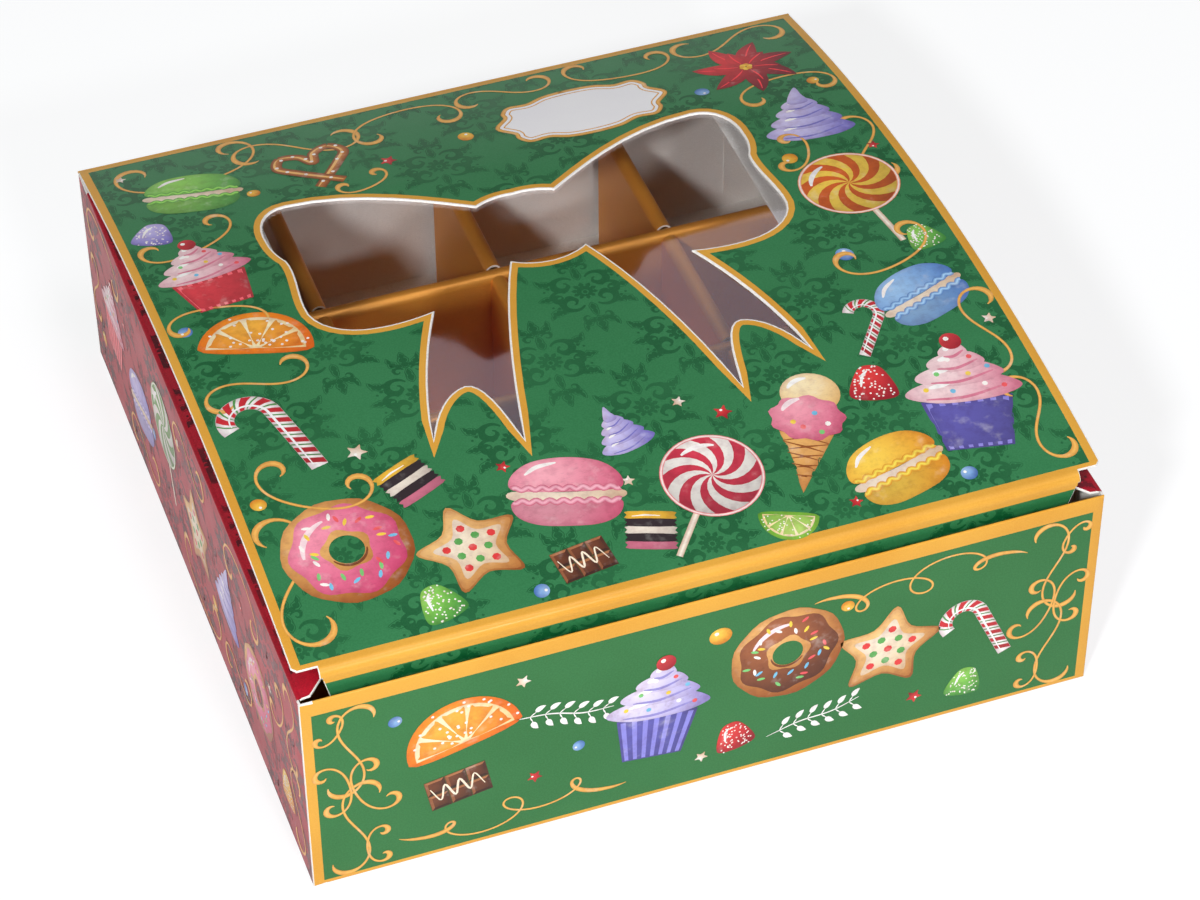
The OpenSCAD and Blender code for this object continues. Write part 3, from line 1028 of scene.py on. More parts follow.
class Ink:
    """Flat shapes on one sheet, gathered into one thin piece. A level is 0.01 mm high."""

    def __init__(self, sheet, level):
        self.sheet, self.level = sheet, level
        self.uv, self.tone, self.rim, self.height, self.faces = [], [], [], [], []
        self.count = 0

    def add(self, uv, faces, tone, level=0.0, rim=0.0):
        """Adds faces as triangles that all turn the same way, whatever folds over itself."""
        size, faces = len(uv), np.asarray(faces, int)
        if faces.shape[1] == 4:
            faces = np.vstack([faces[:, :3], faces[:, [0, 2, 3]]])
        (x1, y1), (x2, y2) = ((uv[faces[:, i]] - uv[faces[:, 0]]).T for i in (1, 2))
        turn = x1 * y2 - x2 * y1
        faces = np.where(turn[:, None] < 0, faces[:, ::-1], faces)[abs(turn) > 1e-5]
        self.uv.append(uv)
        self.tone.append(np.broadcast_to(np.asarray(tone, float), (size, 3)))
        self.rim.append(np.broadcast_to(rim, size))
        self.height.append(np.broadcast_to(self.level + level, size))
        self.faces.extend((faces + self.count).tolist())
        self.count += size

    def stroke(self, path, width, tone, level=0.0, rim_tone=None):
        """A line with its own width at each point, in a second tone at its two sides."""
        path = np.asarray(path, float)
        ahead = np.gradient(path, axis=0)
        ahead /= np.maximum(np.linalg.norm(ahead, axis=1), 1e-9)[:, None]
        widths = np.broadcast_to(width, len(path))[:, None]
        side = np.stack([-ahead[:, 1], ahead[:, 0]], 1) * widths / 2
        rows = np.stack([path + side, path, path - side], 1).reshape(-1, 2)
        here = 3 * np.arange(len(path) - 1)
        faces = np.vstack([np.stack([here + 1, here + 4, here + 3, here], 1),
                           np.stack([here + 2, here + 5, here + 4, here + 1], 1)])
        tones = np.array([rim_tone or tone, tone, rim_tone or tone] * len(path), float)
        self.add(rows, faces, tones, level)

    def piece(self, name, body, material, slot):
        """Makes the object. Its normals are the sheet's, so that it shades like the board."""
        uv, height = np.vstack(self.uv), np.concatenate(self.height)
        at, normal = self.sheet(uv)
        points = at + normal * height[:, None] / LEVELS_PER_MM
        made = new_object(name, points, self.faces, [material])
        tone = to_linear(np.vstack(self.tone))
        tone = np.hstack([tone, np.ones((len(tone), 1))]).astype(np.float32)
        mesh = made.data
        mesh.attributes.new("tone", "FLOAT_COLOR", "POINT").data.foreach_set("color", tone.ravel())
        rim = np.concatenate(self.rim).astype(np.float32)
        mesh.attributes.new("rim", "FLOAT", "POINT").data.foreach_set("value", rim)
        mesh.normals_split_custom_set_from_vertices(normal.tolist())
        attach(made, body)
        print(name, "has", len(mesh.polygons), "faces")
        return made


print("A level is", 1 / LEVELS_PER_MM, "mm high")

# %% [markdown]
# ## The damask leaves
#
# A damask is a traditional weave pattern: a flower among mirrored scrolls and leaves,
# repeated in rows that are shifted by half a repeat. One repeat is drawn here from bent
# leaves and spirals with scalloped sides, with thin echo lines round them. It is then laid
# over a face, and what would cross the window or the face's limits is cut off there.

# %% Draw leaves and curls
def strip(path, width):
    """Rows of a left and a right point along a path."""
    ahead = np.gradient(path, axis=0)
    across = np.stack([-ahead[:, 1], ahead[:, 0]], 1)
    across /= np.maximum(np.linalg.norm(across, axis=1), 1e-6)[:, None]
    half = np.broadcast_to(np.asarray(width, float).reshape(-1, 1), (len(path), 1)) / 2
    return np.stack([path + across * half, path - across * half], 1)


def leaf(base, tip, width, bend=0.0, lobes=0, steps=10):
    """A leaf with scalloped sides, bent sideways by a share of its length."""
    base, tip = np.array(base, float), np.array(tip, float)
    steps = max(steps, 5 * lobes)
    t = np.linspace(0, 1, steps + 1)[:, None]
    along = tip - base
    side = np.array([-along[1], along[0]])
    spine = base + along * t + side * bend * np.sin(math.pi * t)
    width = width * np.sin(math.pi * t ** 0.75) ** 0.8
    if lobes:
        width = width * (0.5 + 0.6 * abs(np.sin(math.pi * lobes * t)) ** 0.7)
    return strip(spine, width)


def echo(rows, gap=0.7, line=0.32):
    """A thin line round a leaf, some way off its edge."""
    ring = np.vstack([rows[:, 1], rows[::-1, 0]])[::2]
    centre = ring.mean(0)
    reach = np.linalg.norm(ring - centre, axis=1)[:, None]
    ring = ring + (ring - centre) / np.maximum(reach, 0.3) * gap
    return strip(np.vstack([ring, ring[:1]]), line)


def curl(start, heading, radius, turns, width, sense=1, lobes=0):
    """A closing spiral that tapers, with scallops on its outer side."""
    t = np.linspace(0, 1, int(10 + 22 * turns))
    bearing = math.radians(heading) + sense * 2 * math.pi * turns * t
    pace = 2 * math.pi * turns * radius * (1 - 0.78 * t) / len(t)
    steps = np.stack([np.cos(bearing), np.sin(bearing)], 1) * pace[:, None]
    path = np.array(start) + np.cumsum(steps, 0)
    rows = strip(path, width * (0.35 + 0.65 * np.sin(math.pi * np.minimum(t * 1.2, 1))))
    scallop = 1 + 0.9 * abs(np.sin(math.pi * lobes * t)) ** 0.6 * np.sin(math.pi * t)
    outer = 0 if sense < 0 else 1
    rows[:, outer] = path + (rows[:, outer] - path) * scallop[:, None]
    return rows


print("A leaf takes", len(leaf((0, 0), (0, 5), 2)), "pairs of points")

# %% Draw one damask repeat
DAMASK_SCALE, DAMASK_PITCH = 0.56, (30.0, 19.8)


def damask_half():
    """The right half of the repeat, round the middle of the flower."""
    parts = []
    for angle, length, width in ((90, 6.2, 2.8), (54, 6.0, 2.6), (20, 5.6, 2.6), (-14, 5.2, 2.4),
                                 (-50, 4.8, 2.2), (-90, 4.6, 2.2)):
        d = np.array([math.cos(math.radians(angle)), math.sin(math.radians(angle))])
        parts.append(leaf(d * 1.3, d * length, width, 0.05, 2))
    for x, y, heading, radius, turns, width, sense, lobes in (
            (2.4, 8.0, 62, 5.0, 1.15, 2.3, -1, 6), (2.2, -6.8, -58, 5.2, 1.15, 2.4, 1, 6),
            (7.4, 1.2, 60, 3.6, 1.05, 1.7, -1, 4), (7.2, -1.2, -70, 3.4, 1.0, 1.6, 1, 4),
            (1.4, 15.2, 75, 2.5, 1.0, 1.2, -1, 0), (1.4, -15.4, -75, 2.6, 1.0, 1.2, 1, 0)):
        parts.append(curl((x, y), heading, radius, turns, width, sense, lobes))
        parts.append(curl((x + 0.5, y), heading, radius * 1.22, turns * 0.62, 0.34, sense))
    for base, tip, width, bend, lobes in (
            ((0, 8.5), (0, 16), 2.6, 0, 2), ((0, 17), (0, 25.5), 3.2, 0, 3),
            ((0, -7.5), (0, -15), 2.4, 0, 2), ((0, -16), (0, -25), 3.0, 0, 3),
            ((1.2, 17.5), (6.0, 23.5), 2.6, -0.2, 3), ((1.2, -17), (6.6, -22.5), 2.6, 0.2, 3),
            ((10.5, 9.5), (17, 12.5), 3.2, -0.25, 4), ((10.5, -9.5), (17.4, -12), 3.2, 0.25, 4),
            ((12.6, 0), (19, 0), 2.8, 0, 3)):
        frond = leaf(base, tip, width, bend, lobes, 14)
        parts += [frond, echo(frond, 0.7, 0.3)]
    for x, y, r in ((13.5, 6.5, 0.8), (15.5, 5.0, 0.6), (13.0, -6.4, 0.8), (15.2, -5.2, 0.6),
                    (5.4, 19.0, 0.7), (6.0, -18.4, 0.7), (0, 0, 1.0)):
        parts.append(leaf((x - r, y), (x + r, y), 2 * r, steps=6))
    return parts


def damask_repeat():
    """Points and faces of the whole repeat."""
    points, faces, count = [], [], 0
    for rows in damask_half():
        for side in (1, -1) if abs(rows.mean(1)[:, 0]).max() > 0.5 else (1,):
            flat = (rows * (side, 1)).reshape(-1, 2)
            here = 2 * np.arange(len(rows) - 1) + count
            quads = np.stack([here + 1, here + 3, here + 2, here], 1)
            points.append(flat)
            faces.append(quads if side > 0 else quads[:, ::-1])
            count += len(flat)
    return np.vstack(points) * DAMASK_SCALE, np.vstack(faces)


REPEAT = damask_repeat()
print("Damask repeat:", len(REPEAT[0]), "points over", np.ptp(REPEAT[0], 0).round(1), "mm")

# %% Cut the damask at a ring
def spikes(ring):
    """The points where a ring turns back on itself."""
    ahead = np.roll(ring, -1, 0) - ring
    return ring[(ahead * np.roll(ahead, 1, 0)).sum(1) < 0]


def drawn_to(points, ring):
    """The nearest place on a ring to each point."""
    a = ring[None]
    along = np.roll(ring, -1, 0)[None] - a
    share = ((points[:, None] - a) * along).sum(2) / np.maximum((along**2).sum(2), 1e-12)
    foot = a + np.clip(share, 0, 1)[..., None] * along
    nearest = np.linalg.norm(points[:, None] - foot, axis=2).argmin(1)
    return foot[np.arange(len(points)), nearest]


print("The window's rim has", len(spikes(RIM)), "points where it turns back")

# %% Lay the damask
DAMASK_REACH, DAMASK_COLUMNS, SPIKE_ROOM = 30, range(-5, 6), 1.6


def repeats(low, high, shift):
    """The place of each repeat that could reach into the box from low to high."""
    across, up = DAMASK_PITCH
    first, last = math.floor((low[1] - DAMASK_REACH) / up), math.ceil((high[1] + DAMASK_REACH) / up)
    for row in range(first, last + 1):
        for column in DAMASK_COLUMNS:
            yield np.array([(column + (row % 2) / 2) * across, row * up]) + shift


def lay_damask(name, sheet, body, material, limits, hole=None, outer=None, shift=(0, 0)):
    """Repeats over the box from limits[0] to limits[1], clear of a hole or inside a ring. What
    lies a little outside is drawn back to the line, so that leaves end there in a clean cut.
    Parts of a repeat lie at slightly different levels, as leaves and curls cross."""
    ink = Ink(sheet, DAMASK_LEVEL)
    points, faces = REPEAT
    low, high = np.array(limits, float)
    for place in repeats(low, high, shift):
        uv = points + place
        kept = ((uv > low) & (uv < high)).all(1)
        uv = np.clip(uv, low, high)
        for ring, inner in ((hole, False), (outer, True)):
            if ring is not None:
                astray = inside(uv, ring) != inner
                kept &= ~astray
                uv[astray] = drawn_to(uv[astray], ring)
        some = faces[kept[faces].any(1)]
        if hole is not None and len(some):
            middle = uv[some].mean(1)
            room = np.linalg.norm(middle[:, None] - spikes(hole), axis=2).min(1)
            some = some[(room > SPIKE_ROOM) & ~inside(middle, hole)]
        if len(some):
            used, numbers = np.unique(some, return_inverse=True)
            ink.add(uv[used], numbers.reshape(some.shape), (0, 0, 0), 0.1 * ((used // 40) % 7))
    slot = "green_print" if "green" in material.name else "red_print"
    return ink.piece(name, body, material, slot)


LID_LIMITS = ((-BORDER_SIDE, BORDER_FRONT), (BORDER_SIDE, BORDER_BACK))
SIDE_LIMITS = ((0.4 - INNER_D, 0.5), (INNER_D - 0.4, WALL_H - 0.5))
TUCK_LIMITS, DUST_LIMITS = ((-79.8, -17.6), (79.8, -2.2)), ((0, -90), (BLEED, 90))
lay_damask("lid_damask", lid_sheet, "lid", green_damask, LID_LIMITS, RIM, shift=(3, -4))
lay_damask("tuck_damask", tuck_sheet, "tuck", green_damask, TUCK_LIMITS)
lay_damask("left_damask", left_sheet, "tray", red_damask, SIDE_LIMITS, shift=(6, 6))
lay_damask("right_damask", right_sheet, "tray", red_damask, SIDE_LIMITS, shift=(-9, 6))
for side, sheet, flip in DUST_SIDES:
    lay_damask(f"dust_{side}_damask", sheet, f"dust_{side}", red_damask, DUST_LIMITS,
               outer=mirrored(offset(DUST, -0.3), flip), shift=(10, 3))

# %% [markdown]
# ## Motifs of sweets
#
# The print is strewn with painted sweets: doughnuts, macarons, cup cakes, lollipops and
# more. Each is drawn in units of its own half size, as layered shapes with a light and a
# dark tone, so that one small set of drawing calls serves them all.

# %% Draw one motif
def circle(rx, ry=None, centre=(0, 0), count=36, wave=0.0, waves=0):
    """A circle, or an ellipse where ry is given, with waves along it."""
    a = np.linspace(0, 2 * math.pi, count, endpoint=False)
    r = 1 + wave * np.sin(waves * a)
    return np.stack([centre[0] + rx * r * np.cos(a), centre[1] + (ry or rx) * r * np.sin(a)], 1)


def arc(radius, start, end, centre=(0, 0), steps=12):
    return np.array(corner(centre, radius, start, end, steps))


def shade(tone, share):
    """A tone made darker, or lighter where share is above 1."""
    return tuple(min(255, share * v) for v in tone)


class Motif:
    """Draws in units of size mm round a place, turned by an angle in degrees."""

    def __init__(self, ink, place, size, angle):
        self.ink, self.place, self.size = ink, np.array(place, float), size
        c, s = math.cos(math.radians(angle)), math.sin(math.radians(angle))
        self.turn = np.array([[c, s], [-s, c]]) * size

    def at(self, points):
        return np.asarray(points, float) @ self.turn + self.place

    def shape(self, outline, light, dark=None, level=0, holes=(), lit=(-0.35, 0.45), reach=1.5):
        """A filled shape that darkens away from its lit place. Without a dark tone it is even
        and takes no points inside."""
        outline = np.asarray(outline, float)
        uv, faces = fill(outline, holes, (), max(0.16, 1.1 / self.size) if dark else WHOLE)
        share = np.clip(np.linalg.norm(uv - lit, axis=1) / reach, 0, 1)[:, None] ** 1.4
        tone = np.array(light) * (1 - share) + np.array(dark or light) * share
        rim = np.clip(1 - distance_to(uv, outline) * self.size, 0, 1) if dark else 0.0
        self.ink.add(self.at(uv), faces, tone, level, rim)

    def line(self, path, width, tone, level=1, rim_tone=None, taper=True):
        """A line that thins towards its ends, unless taper is False."""
        path = np.asarray(path, float)
        shape = np.sin(math.pi * np.linspace(0.06, 0.94, len(path))) ** 0.6 if taper else 1.0
        self.ink.stroke(self.at(path), width * self.size * shape, tone, level, rim_tone)

    def dots(self, centres, radius, tones, level=2):
        """Small seven-sided dots, each in the next of the tones and a trace higher than the last,
        so that no two lie in one plane where they overlap."""
        faces = [(0, i, i % 7 + 1) for i in range(1, 8)]
        for k, centre in enumerate(centres):
            ring = np.vstack([[centre], circle(radius, centre=centre, count=7)])
            self.ink.add(self.at(ring), faces, tones[k % len(tones)], level + 0.1 * (k % 9))


chance = np.random.default_rng(11)
SUGAR = [(255, 252, 246), (250, 240, 232)]
SPRINKLES = [(250, 214, 74), (120, 196, 232), (255, 250, 244), (240, 92, 96), (126, 206, 120)]
print("Sprinkle colours:", len(SPRINKLES))

# %% Draw the round motifs
def doughnut(m, icing=(250, 152, 176), deep=(206, 66, 110)):
    m.shape(circle(1, wave=0.012, waves=9), (240, 186, 112), (156, 84, 30), holes=[circle(0.27)])
    m.shape(circle(0.86, wave=0.05, waves=7, count=56), icing, deep, 1,
            holes=[circle(0.38, wave=0.09, waves=5, count=30)])
    m.line(arc(0.66, 95, 168), 0.1, (255, 226, 230), 2)
    m.line(arc(0.3, 200, 340), 0.05, (120, 62, 24), 1)
    for k in range(26):
        a, r = 2 * math.pi * (k * 0.618 % 1), chance.uniform(0.48, 0.76)
        lean = chance.uniform(0, math.pi)
        step = 0.07 * np.array([math.cos(lean), math.sin(lean)])
        path = np.array([(r * math.cos(a), r * math.sin(a))]) + np.outer([-1, -0.4, 0.4, 1], step)
        m.line(path, 0.06, SPRINKLES[k % 5], 3)


def macaron(m, light, dark, cream=(255, 244, 224)):
    top = smooth([(-0.98, 0.1), (-0.95, 0.42), (-0.6, 0.72), (0, 0.82), (0.6, 0.72), (0.95, 0.42),
                  (0.98, 0.1), (0.5, 0.02), (-0.5, 0.02)], True, 5)
    low = smooth([(-0.96, -0.2), (-0.5, -0.14), (0.5, -0.14), (0.96, -0.2), (0.9, -0.52),
                  (0.55, -0.72), (0, -0.76), (-0.55, -0.72), (-0.9, -0.52)], True, 5)
    filling = smooth([(-0.94, -0.16), (0, -0.22), (0.94, -0.16), (0.96, 0.04), (0, 0.0),
                      (-0.96, 0.04)], True, 5)
    m.shape(low, shade(light, 0.86), dark, 0, lit=(-0.4, -0.1))
    m.shape(filling, cream, (226, 196, 160), 1)
    m.shape(top, light, dark, 2)
    for y, sign in ((0.1, 1), (-0.2, -1)):
        frill = [(x, y + sign * 0.035 * math.sin(26 * x)) for x in np.linspace(-0.95, 0.95, 60)]
        m.line(frill, 0.12, shade(light, 1.1), 3, dark, False)
    m.line(smooth([(-0.72, 0.42), (-0.5, 0.6), (-0.15, 0.7)]), 0.09, (255, 250, 246), 3)


def lollipop(m, first, second):
    m.line([(0, -0.9), (0, -1.4), (0, -1.8), (0, -2.1)], 0.13, (250, 240, 224), 0, (206, 178, 150),
           False)
    m.shape(circle(1, count=48), first, shade(first, 0.8), 1)
    for k in range(8):
        r = np.linspace(0, 0.97, 9)
        a, b = ((2 * k + i) * math.pi / 8 + 1.2 * r for i in (0, 1))
        one, two = (np.stack([r * np.cos(v), r * np.sin(v)], 1) for v in (a, b))
        end = arc(0.97, math.degrees(a[-1]), math.degrees(b[-1]), steps=4)
        m.shape(np.vstack([one[:-1], end, two[1:-1][::-1]]), second, shade(second, 0.72), 2)
    m.line(arc(0.99, 0, 360, steps=44), 0.07, (255, 248, 240), 3, second, False)
    m.line(arc(0.76, 105, 160), 0.11, (255, 252, 248), 4)


print("Round motifs: doughnut, macaron, lollipop")

# %% Draw the slice and the biscuit
def jelly_slice(m, rind=(250, 150, 34), flesh=(255, 190, 70), deep=(232, 104, 20)):
    edge = smooth([(-1, -0.06), (-0.5, -0.13), (0.5, -0.13), (1, -0.06)], steps=4)
    m.shape(np.vstack([arc(1, 0, 180, steps=24), edge[1:-1]]), rind, deep, lit=(-0.3, 0.7))
    m.shape(arc(0.86, 0, 180, steps=24), (255, 244, 206), (250, 214, 140), 1)
    for k in range(5):
        a, b = 36 * k + 3.5, 36 * k + 32.5
        mid = math.radians((a + b) / 2)
        tip = [(0.1 * math.cos(mid), 0.1 * math.sin(mid))]
        wedge = smooth(np.vstack([tip, arc(0.78, a, b, steps=5)]), True, 3)
        m.shape(wedge, flesh, deep, 2, lit=(-0.2, 0.7))
    polar = zip(chance.uniform(0.1, 3.0, 30), chance.uniform(0.2, 0.96, 30))
    m.dots([(r * math.cos(a), r * math.sin(a)) for a, r in polar], 0.028, SUGAR, 3)


def star(radius, deep, count=5, steps=5):
    """A star with soft points. deep is the share of the radius that its notches have."""
    a = math.pi / 2 + np.arange(2 * count) * math.pi / count
    r = np.where(np.arange(2 * count) % 2, deep, 1.0) * radius
    return smooth(np.stack([r * np.cos(a), r * np.sin(a)], 1), True, steps)


def star_biscuit(m, icing=(250, 238, 216), dots=((226, 60, 60), (92, 168, 84))):
    m.shape(star(1, 0.6), (240, 188, 112), (158, 92, 38))
    m.shape(star(0.93, 0.6), (248, 204, 134), (190, 122, 58), 1)
    m.shape(star(0.7, 0.58), icing, (222, 186, 140), 2)
    m.dots(np.vstack([star(0.46, 0.6, steps=1), [(0, 0)]]), 0.08, dots, 3)


print("A star has", len(star(1, 0.6)), "points")

# %% Draw the creamy motifs
def puff(y, w, h):
    """One ring of whipped cream, leaning to the right as it winds."""
    return smooth([(-w, y - 0.02), (-w * 0.94, y + h * 0.5), (-w * 0.4, y + h),
                   (w * 0.5, y + h * 1.1), (w * 0.96, y + h * 0.5), (w, y),
                   (w * 0.5, y - h * 0.5), (-w * 0.4, y - h * 0.6)], True, 5)


def whipped(m, rings, light, dark, level):
    """Rings of cream, each given by its height y, half width w and thickness h."""
    for y, w, h in rings:
        m.shape(puff(y, w, h), light, dark, level, lit=(-0.35, y + h), reach=1.1)
        fold = smooth([(-w * 0.7, y - h * 0.25), (0, y - h * 0.3), (w * 0.8, y + h * 0.3)])
        m.line(fold, 0.05, dark, level + 1)
        shine = smooth([(-w * 0.6, y + h * 0.5), (-w * 0.2, y + h * 0.72)])
        m.line(shine, 0.08, (255, 253, 250), level + 1)
        level += 0.7


def cup_cake(m, case=(226, 66, 76), cream=(253, 230, 230), deep=(222, 128, 152)):
    m.shape([(-0.62, -0.1), (-0.45, -0.95), (0.45, -0.95), (0.62, -0.1)], case, shade(case, 0.62),
            lit=(-0.3, -0.3))
    pleat = tuple(min(255, v + 46) for v in case)
    for x in np.linspace(-0.52, 0.52, 7):
        foot = x * 0.74
        m.shape([(x - 0.04, -0.14), (foot - 0.03, -0.93), (foot + 0.03, -0.93), (x + 0.04, -0.14)],
                pleat, None, 1)
    rings = ((0.0, 0.76, 0.26), (0.27, 0.58, 0.23), (0.5, 0.38, 0.2), (0.7, 0.19, 0.16))
    whipped(m, rings, cream, deep, 2)
    m.shape(circle(0.15, centre=(0.02, 0.93), count=18), (246, 84, 84), (150, 16, 34), 6,
            lit=(-0.03, 0.98), reach=0.25)
    m.dots([(-0.03, 0.98)], 0.04, SUGAR, 7)
    m.dots([(-0.5, 0.1), (-0.15, 0.04), (0.3, 0.12), (0.55, 0.06), (-0.3, 0.36), (0.12, 0.32),
            (0.4, 0.42), (-0.1, 0.6), (0.2, 0.62)], 0.04, SPRINKLES, 6)


def meringue(m, light=(226, 218, 252), dark=(124, 118, 200)):
    rings = ((-0.62, 0.82, 0.36), (-0.28, 0.66, 0.32), (0.04, 0.5, 0.28), (0.32, 0.34, 0.24))
    whipped(m, rings, light, dark, 0)
    tip = smooth([(-0.2, 0.46), (-0.12, 0.74), (0.06, 1.02), (0.13, 0.74), (0.2, 0.48), (0, 0.4)],
                 True, 5)
    m.shape(tip, light, dark, 4, lit=(-0.2, 0.8), reach=0.7)


print("A ring of cream has", len(puff(0, 1, 0.3)), "points")

# %% Draw the other tall motifs
def candy_cane(m, stripe=(222, 44, 56), thin=(94, 168, 84)):
    straight = [(0.3, y) for y in np.linspace(-1.1, 0.4, 16)]
    path = np.vstack([straight, arc(0.4, 0, 195, (-0.1, 0.4), 22)[1:]])
    step = np.linalg.norm(np.diff(path, axis=0), axis=1)
    length = np.concatenate([[0], np.cumsum(step)])

    def along(s, side):
        """The place at length s, at a share of the half width to one side."""
        here, next_ = ([np.interp(v, length, path[:, i]) for i in (0, 1)] for v in (s, s + 0.01))
        d = np.subtract(next_, here) / 0.01
        return np.array(here) + 0.146 * side * np.array([-d[1], d[0]])

    m.line(path, 0.3, (255, 252, 248), 0, (214, 196, 200), False)
    for s in np.arange(0.02, length[-1] - 0.34, 0.27):
        for tone, start, width in ((stripe, 0.0, 0.12), (thin, 0.18, 0.035)):
            a, b = ([along(s + start + w + 0.08 * (k + 1), k) for k in (-1, -0.3, 0.3, 1)]
                    for w in (0, width))
            m.shape(a + b[::-1], tone, shade(tone, 0.8), 1)
    shine = [along(s, 0.45) for s in np.linspace(0.1, length[-1] - 0.1, 30)]
    m.line(shine, 0.045, (255, 255, 255), 2)


def gum_drop(m, light, dark):
    body = smooth([(-0.74, -0.74), (-0.86, -0.4), (-0.6, 0.35), (-0.28, 0.78), (0.28, 0.78),
                   (0.6, 0.35), (0.86, -0.4), (0.74, -0.74), (0, -0.86)], True, 6)
    m.shape(body, light, dark)
    m.line(smooth([(-0.42, -0.2), (-0.32, 0.3), (-0.12, 0.56)]), 0.12, (255, 255, 252), 1)
    spots = chance.uniform(-0.8, 0.8, (80, 2))
    m.dots([p for p in spots if abs(p[0]) < 0.7 - 0.45 * max(p[1], 0)], 0.04, SUGAR, 2)


def ice_cone(m, scoop=(250, 168, 184), deep=(204, 78, 114), top=(255, 238, 196),
             top_deep=(228, 174, 94)):
    wafer = [(-0.42, 0.0), (0, -1.2), (0.42, 0.0)]
    m.shape(wafer, (240, 184, 108), (176, 104, 44), lit=(-0.3, -0.2))
    for k in range(5):
        y = -0.08 - 0.2 * k
        for side in (-1, 1):
            m.line([(side * 0.42 * (1 + y / 1.2), y), (0, y - 0.1 * (1 + y)),
                    (-side * 0.36 * (1 + y), y - 0.2 * (1 + y))], 0.035, (150, 84, 34), 1)
    m.shape(circle(0.44, 0.4, (0.02, 0.68), 30), top, top_deep, 2, lit=(-0.15, 0.85), reach=0.8)
    m.shape(circle(0.54, 0.42, (0, 0.2), 44, 0.06, 9), scoop, deep, 3, lit=(-0.2, 0.4), reach=0.9)
    m.line(arc(0.32, 100, 165, (0, 0.66)), 0.08, (255, 254, 250), 3)
    m.line(arc(0.38, 110, 165, (0, 0.2)), 0.09, (255, 236, 238), 4)
    m.dots([(-0.2, 0.1), (0.1, 0.3), (0.3, 0.12), (-0.05, 0.02), (0.22, -0.05)], 0.045,
           SPRINKLES, 4)


print("Tall motifs: cup cake, meringue, cane, gum drop, cone")

# %% Draw the bar, the pretzel and the layers
def choc_bar(m, rows=2, columns=3):
    box = np.array([(-1, -1), (1, -1), (1, 1), (-1, 1)])
    for i in range(columns):
        for j in range(rows):
            here = 0.62 * np.array([i - (columns - 1) / 2, j - (rows - 1) / 2])
            m.shape(box * 0.305 + here, (122, 66, 38), (64, 30, 16), lit=here + (-0.3, 0.3),
                    reach=0.9)
            for k, tone in enumerate(((56, 26, 14), (76, 38, 22), (170, 110, 70), (146, 88, 54))):
                a, b = box[k] * 0.29, box[(k + 1) % 4] * 0.29
                m.shape(np.array([a, b, b * 0.7, a * 0.7]) + here, tone, None, 1)
    ripple = [(x, 0.28 * (-1) ** i) for i, x in enumerate(np.linspace(-0.8, 0.75, 8))]
    m.line(smooth(ripple, steps=6), 0.07, (255, 240, 214), 3)


def pretzel(m, crust=(200, 122, 48), deep=(120, 58, 18)):
    path = smooth([(-0.3, -0.8), (0.02, -0.48), (0.5, 0.02), (0.8, 0.42), (0.58, 0.8),
                   (0.18, 0.66), (0, 0.28), (-0.18, 0.66), (-0.58, 0.8), (-0.8, 0.42),
                   (-0.5, 0.02), (-0.02, -0.48), (0.3, -0.8)])
    third = len(path) // 3
    for k in range(3):
        piece = path[k * third:(k + 1) * third + 1]
        m.line(piece, 0.26, crust, 2 * k, deep, False)
        m.line(piece + (-0.03, 0.03), 0.07, (244, 190, 112), 2 * k + 1)
    salt = path[5:-5:6]
    m.dots(salt + chance.uniform(-0.05, 0.05, salt.shape), 0.045, SUGAR, 7)


LIQUORICE = (44, 30, 34)
LAYERS = ((246, 136, 164), LIQUORICE, (255, 244, 226), LIQUORICE, (250, 196, 60))


def layered_sweet(m):
    for k, tone in enumerate(LAYERS):
        y = -0.75 + 0.3 * k
        band = smooth([(-0.72, y), (0.72, y), (0.76, y + 0.15), (0.72, y + 0.3), (-0.72, y + 0.3),
                       (-0.76, y + 0.15)], True, 3)
        m.shape(band, tone, shade(tone, 0.74), k % 2)
    m.line([(-0.6, 0.55), (-0.2, 0.6), (0.3, 0.58)], 0.07, (255, 252, 240), 3)


print("A layered sweet has", len(LAYERS), "layers")

# %% Draw the star, the flower and the sprig
def little_star(m, light, dark):
    m.shape(star(1, 0.5, steps=3), light, dark)
    m.dots([(-0.2, 0.25)], 0.16, SUGAR, 1)


def rim_of(rows):
    """The outline of a leaf that is given as rows of a left and a right point."""
    return np.vstack([rows[:, 1], rows[1:-1, 0][::-1]])


def petals(m, count, length, width, light, dark, level, turn=0.0):
    for k in range(count):
        a = 2 * math.pi * (k + turn) / count
        d = np.array([math.cos(a), math.sin(a)])
        rows = leaf(d * 0.08, d * length, width, 0.06, steps=8)
        m.shape(rim_of(rows), light, dark, level, reach=1.2)
        m.line(rows[1:-1].mean(1), 0.035, shade(light, 1.4), level + 1)


def red_flower(m, light=(230, 44, 50), dark=(120, 8, 26)):
    petals(m, 7, 1.0, 0.4, light, dark, 0)
    petals(m, 6, 0.66, 0.34, light, dark, 2, 0.5)
    m.dots(circle(0.07, count=6), 0.06, [(252, 206, 76), (236, 170, 40)], 4)


def sprig(m, tone=(250, 250, 246)):
    stem = smooth([(-1, -0.1), (-0.3, 0.02), (0.4, 0.0), (1, 0.14)])
    m.line(stem, 0.035, tone, 0)
    for x in np.arange(-0.72, 0.9, 0.3):
        y = float(np.interp(x, stem[:, 0], stem[:, 1]))
        for side in (1, -1):
            m.line([(x, y), (x + 0.05, y + side * 0.07), (x + 0.1, y + side * 0.13)], 0.03, tone, 0)
            base, tip = (x + 0.09, y + side * 0.12), (x + 0.26, y + side * 0.3)
            m.shape(rim_of(leaf(base, tip, 0.13, 0.1 * side, steps=6)), tone, None, 0)


print("The rest: bar, pretzel, layers, star, flower, sprig")
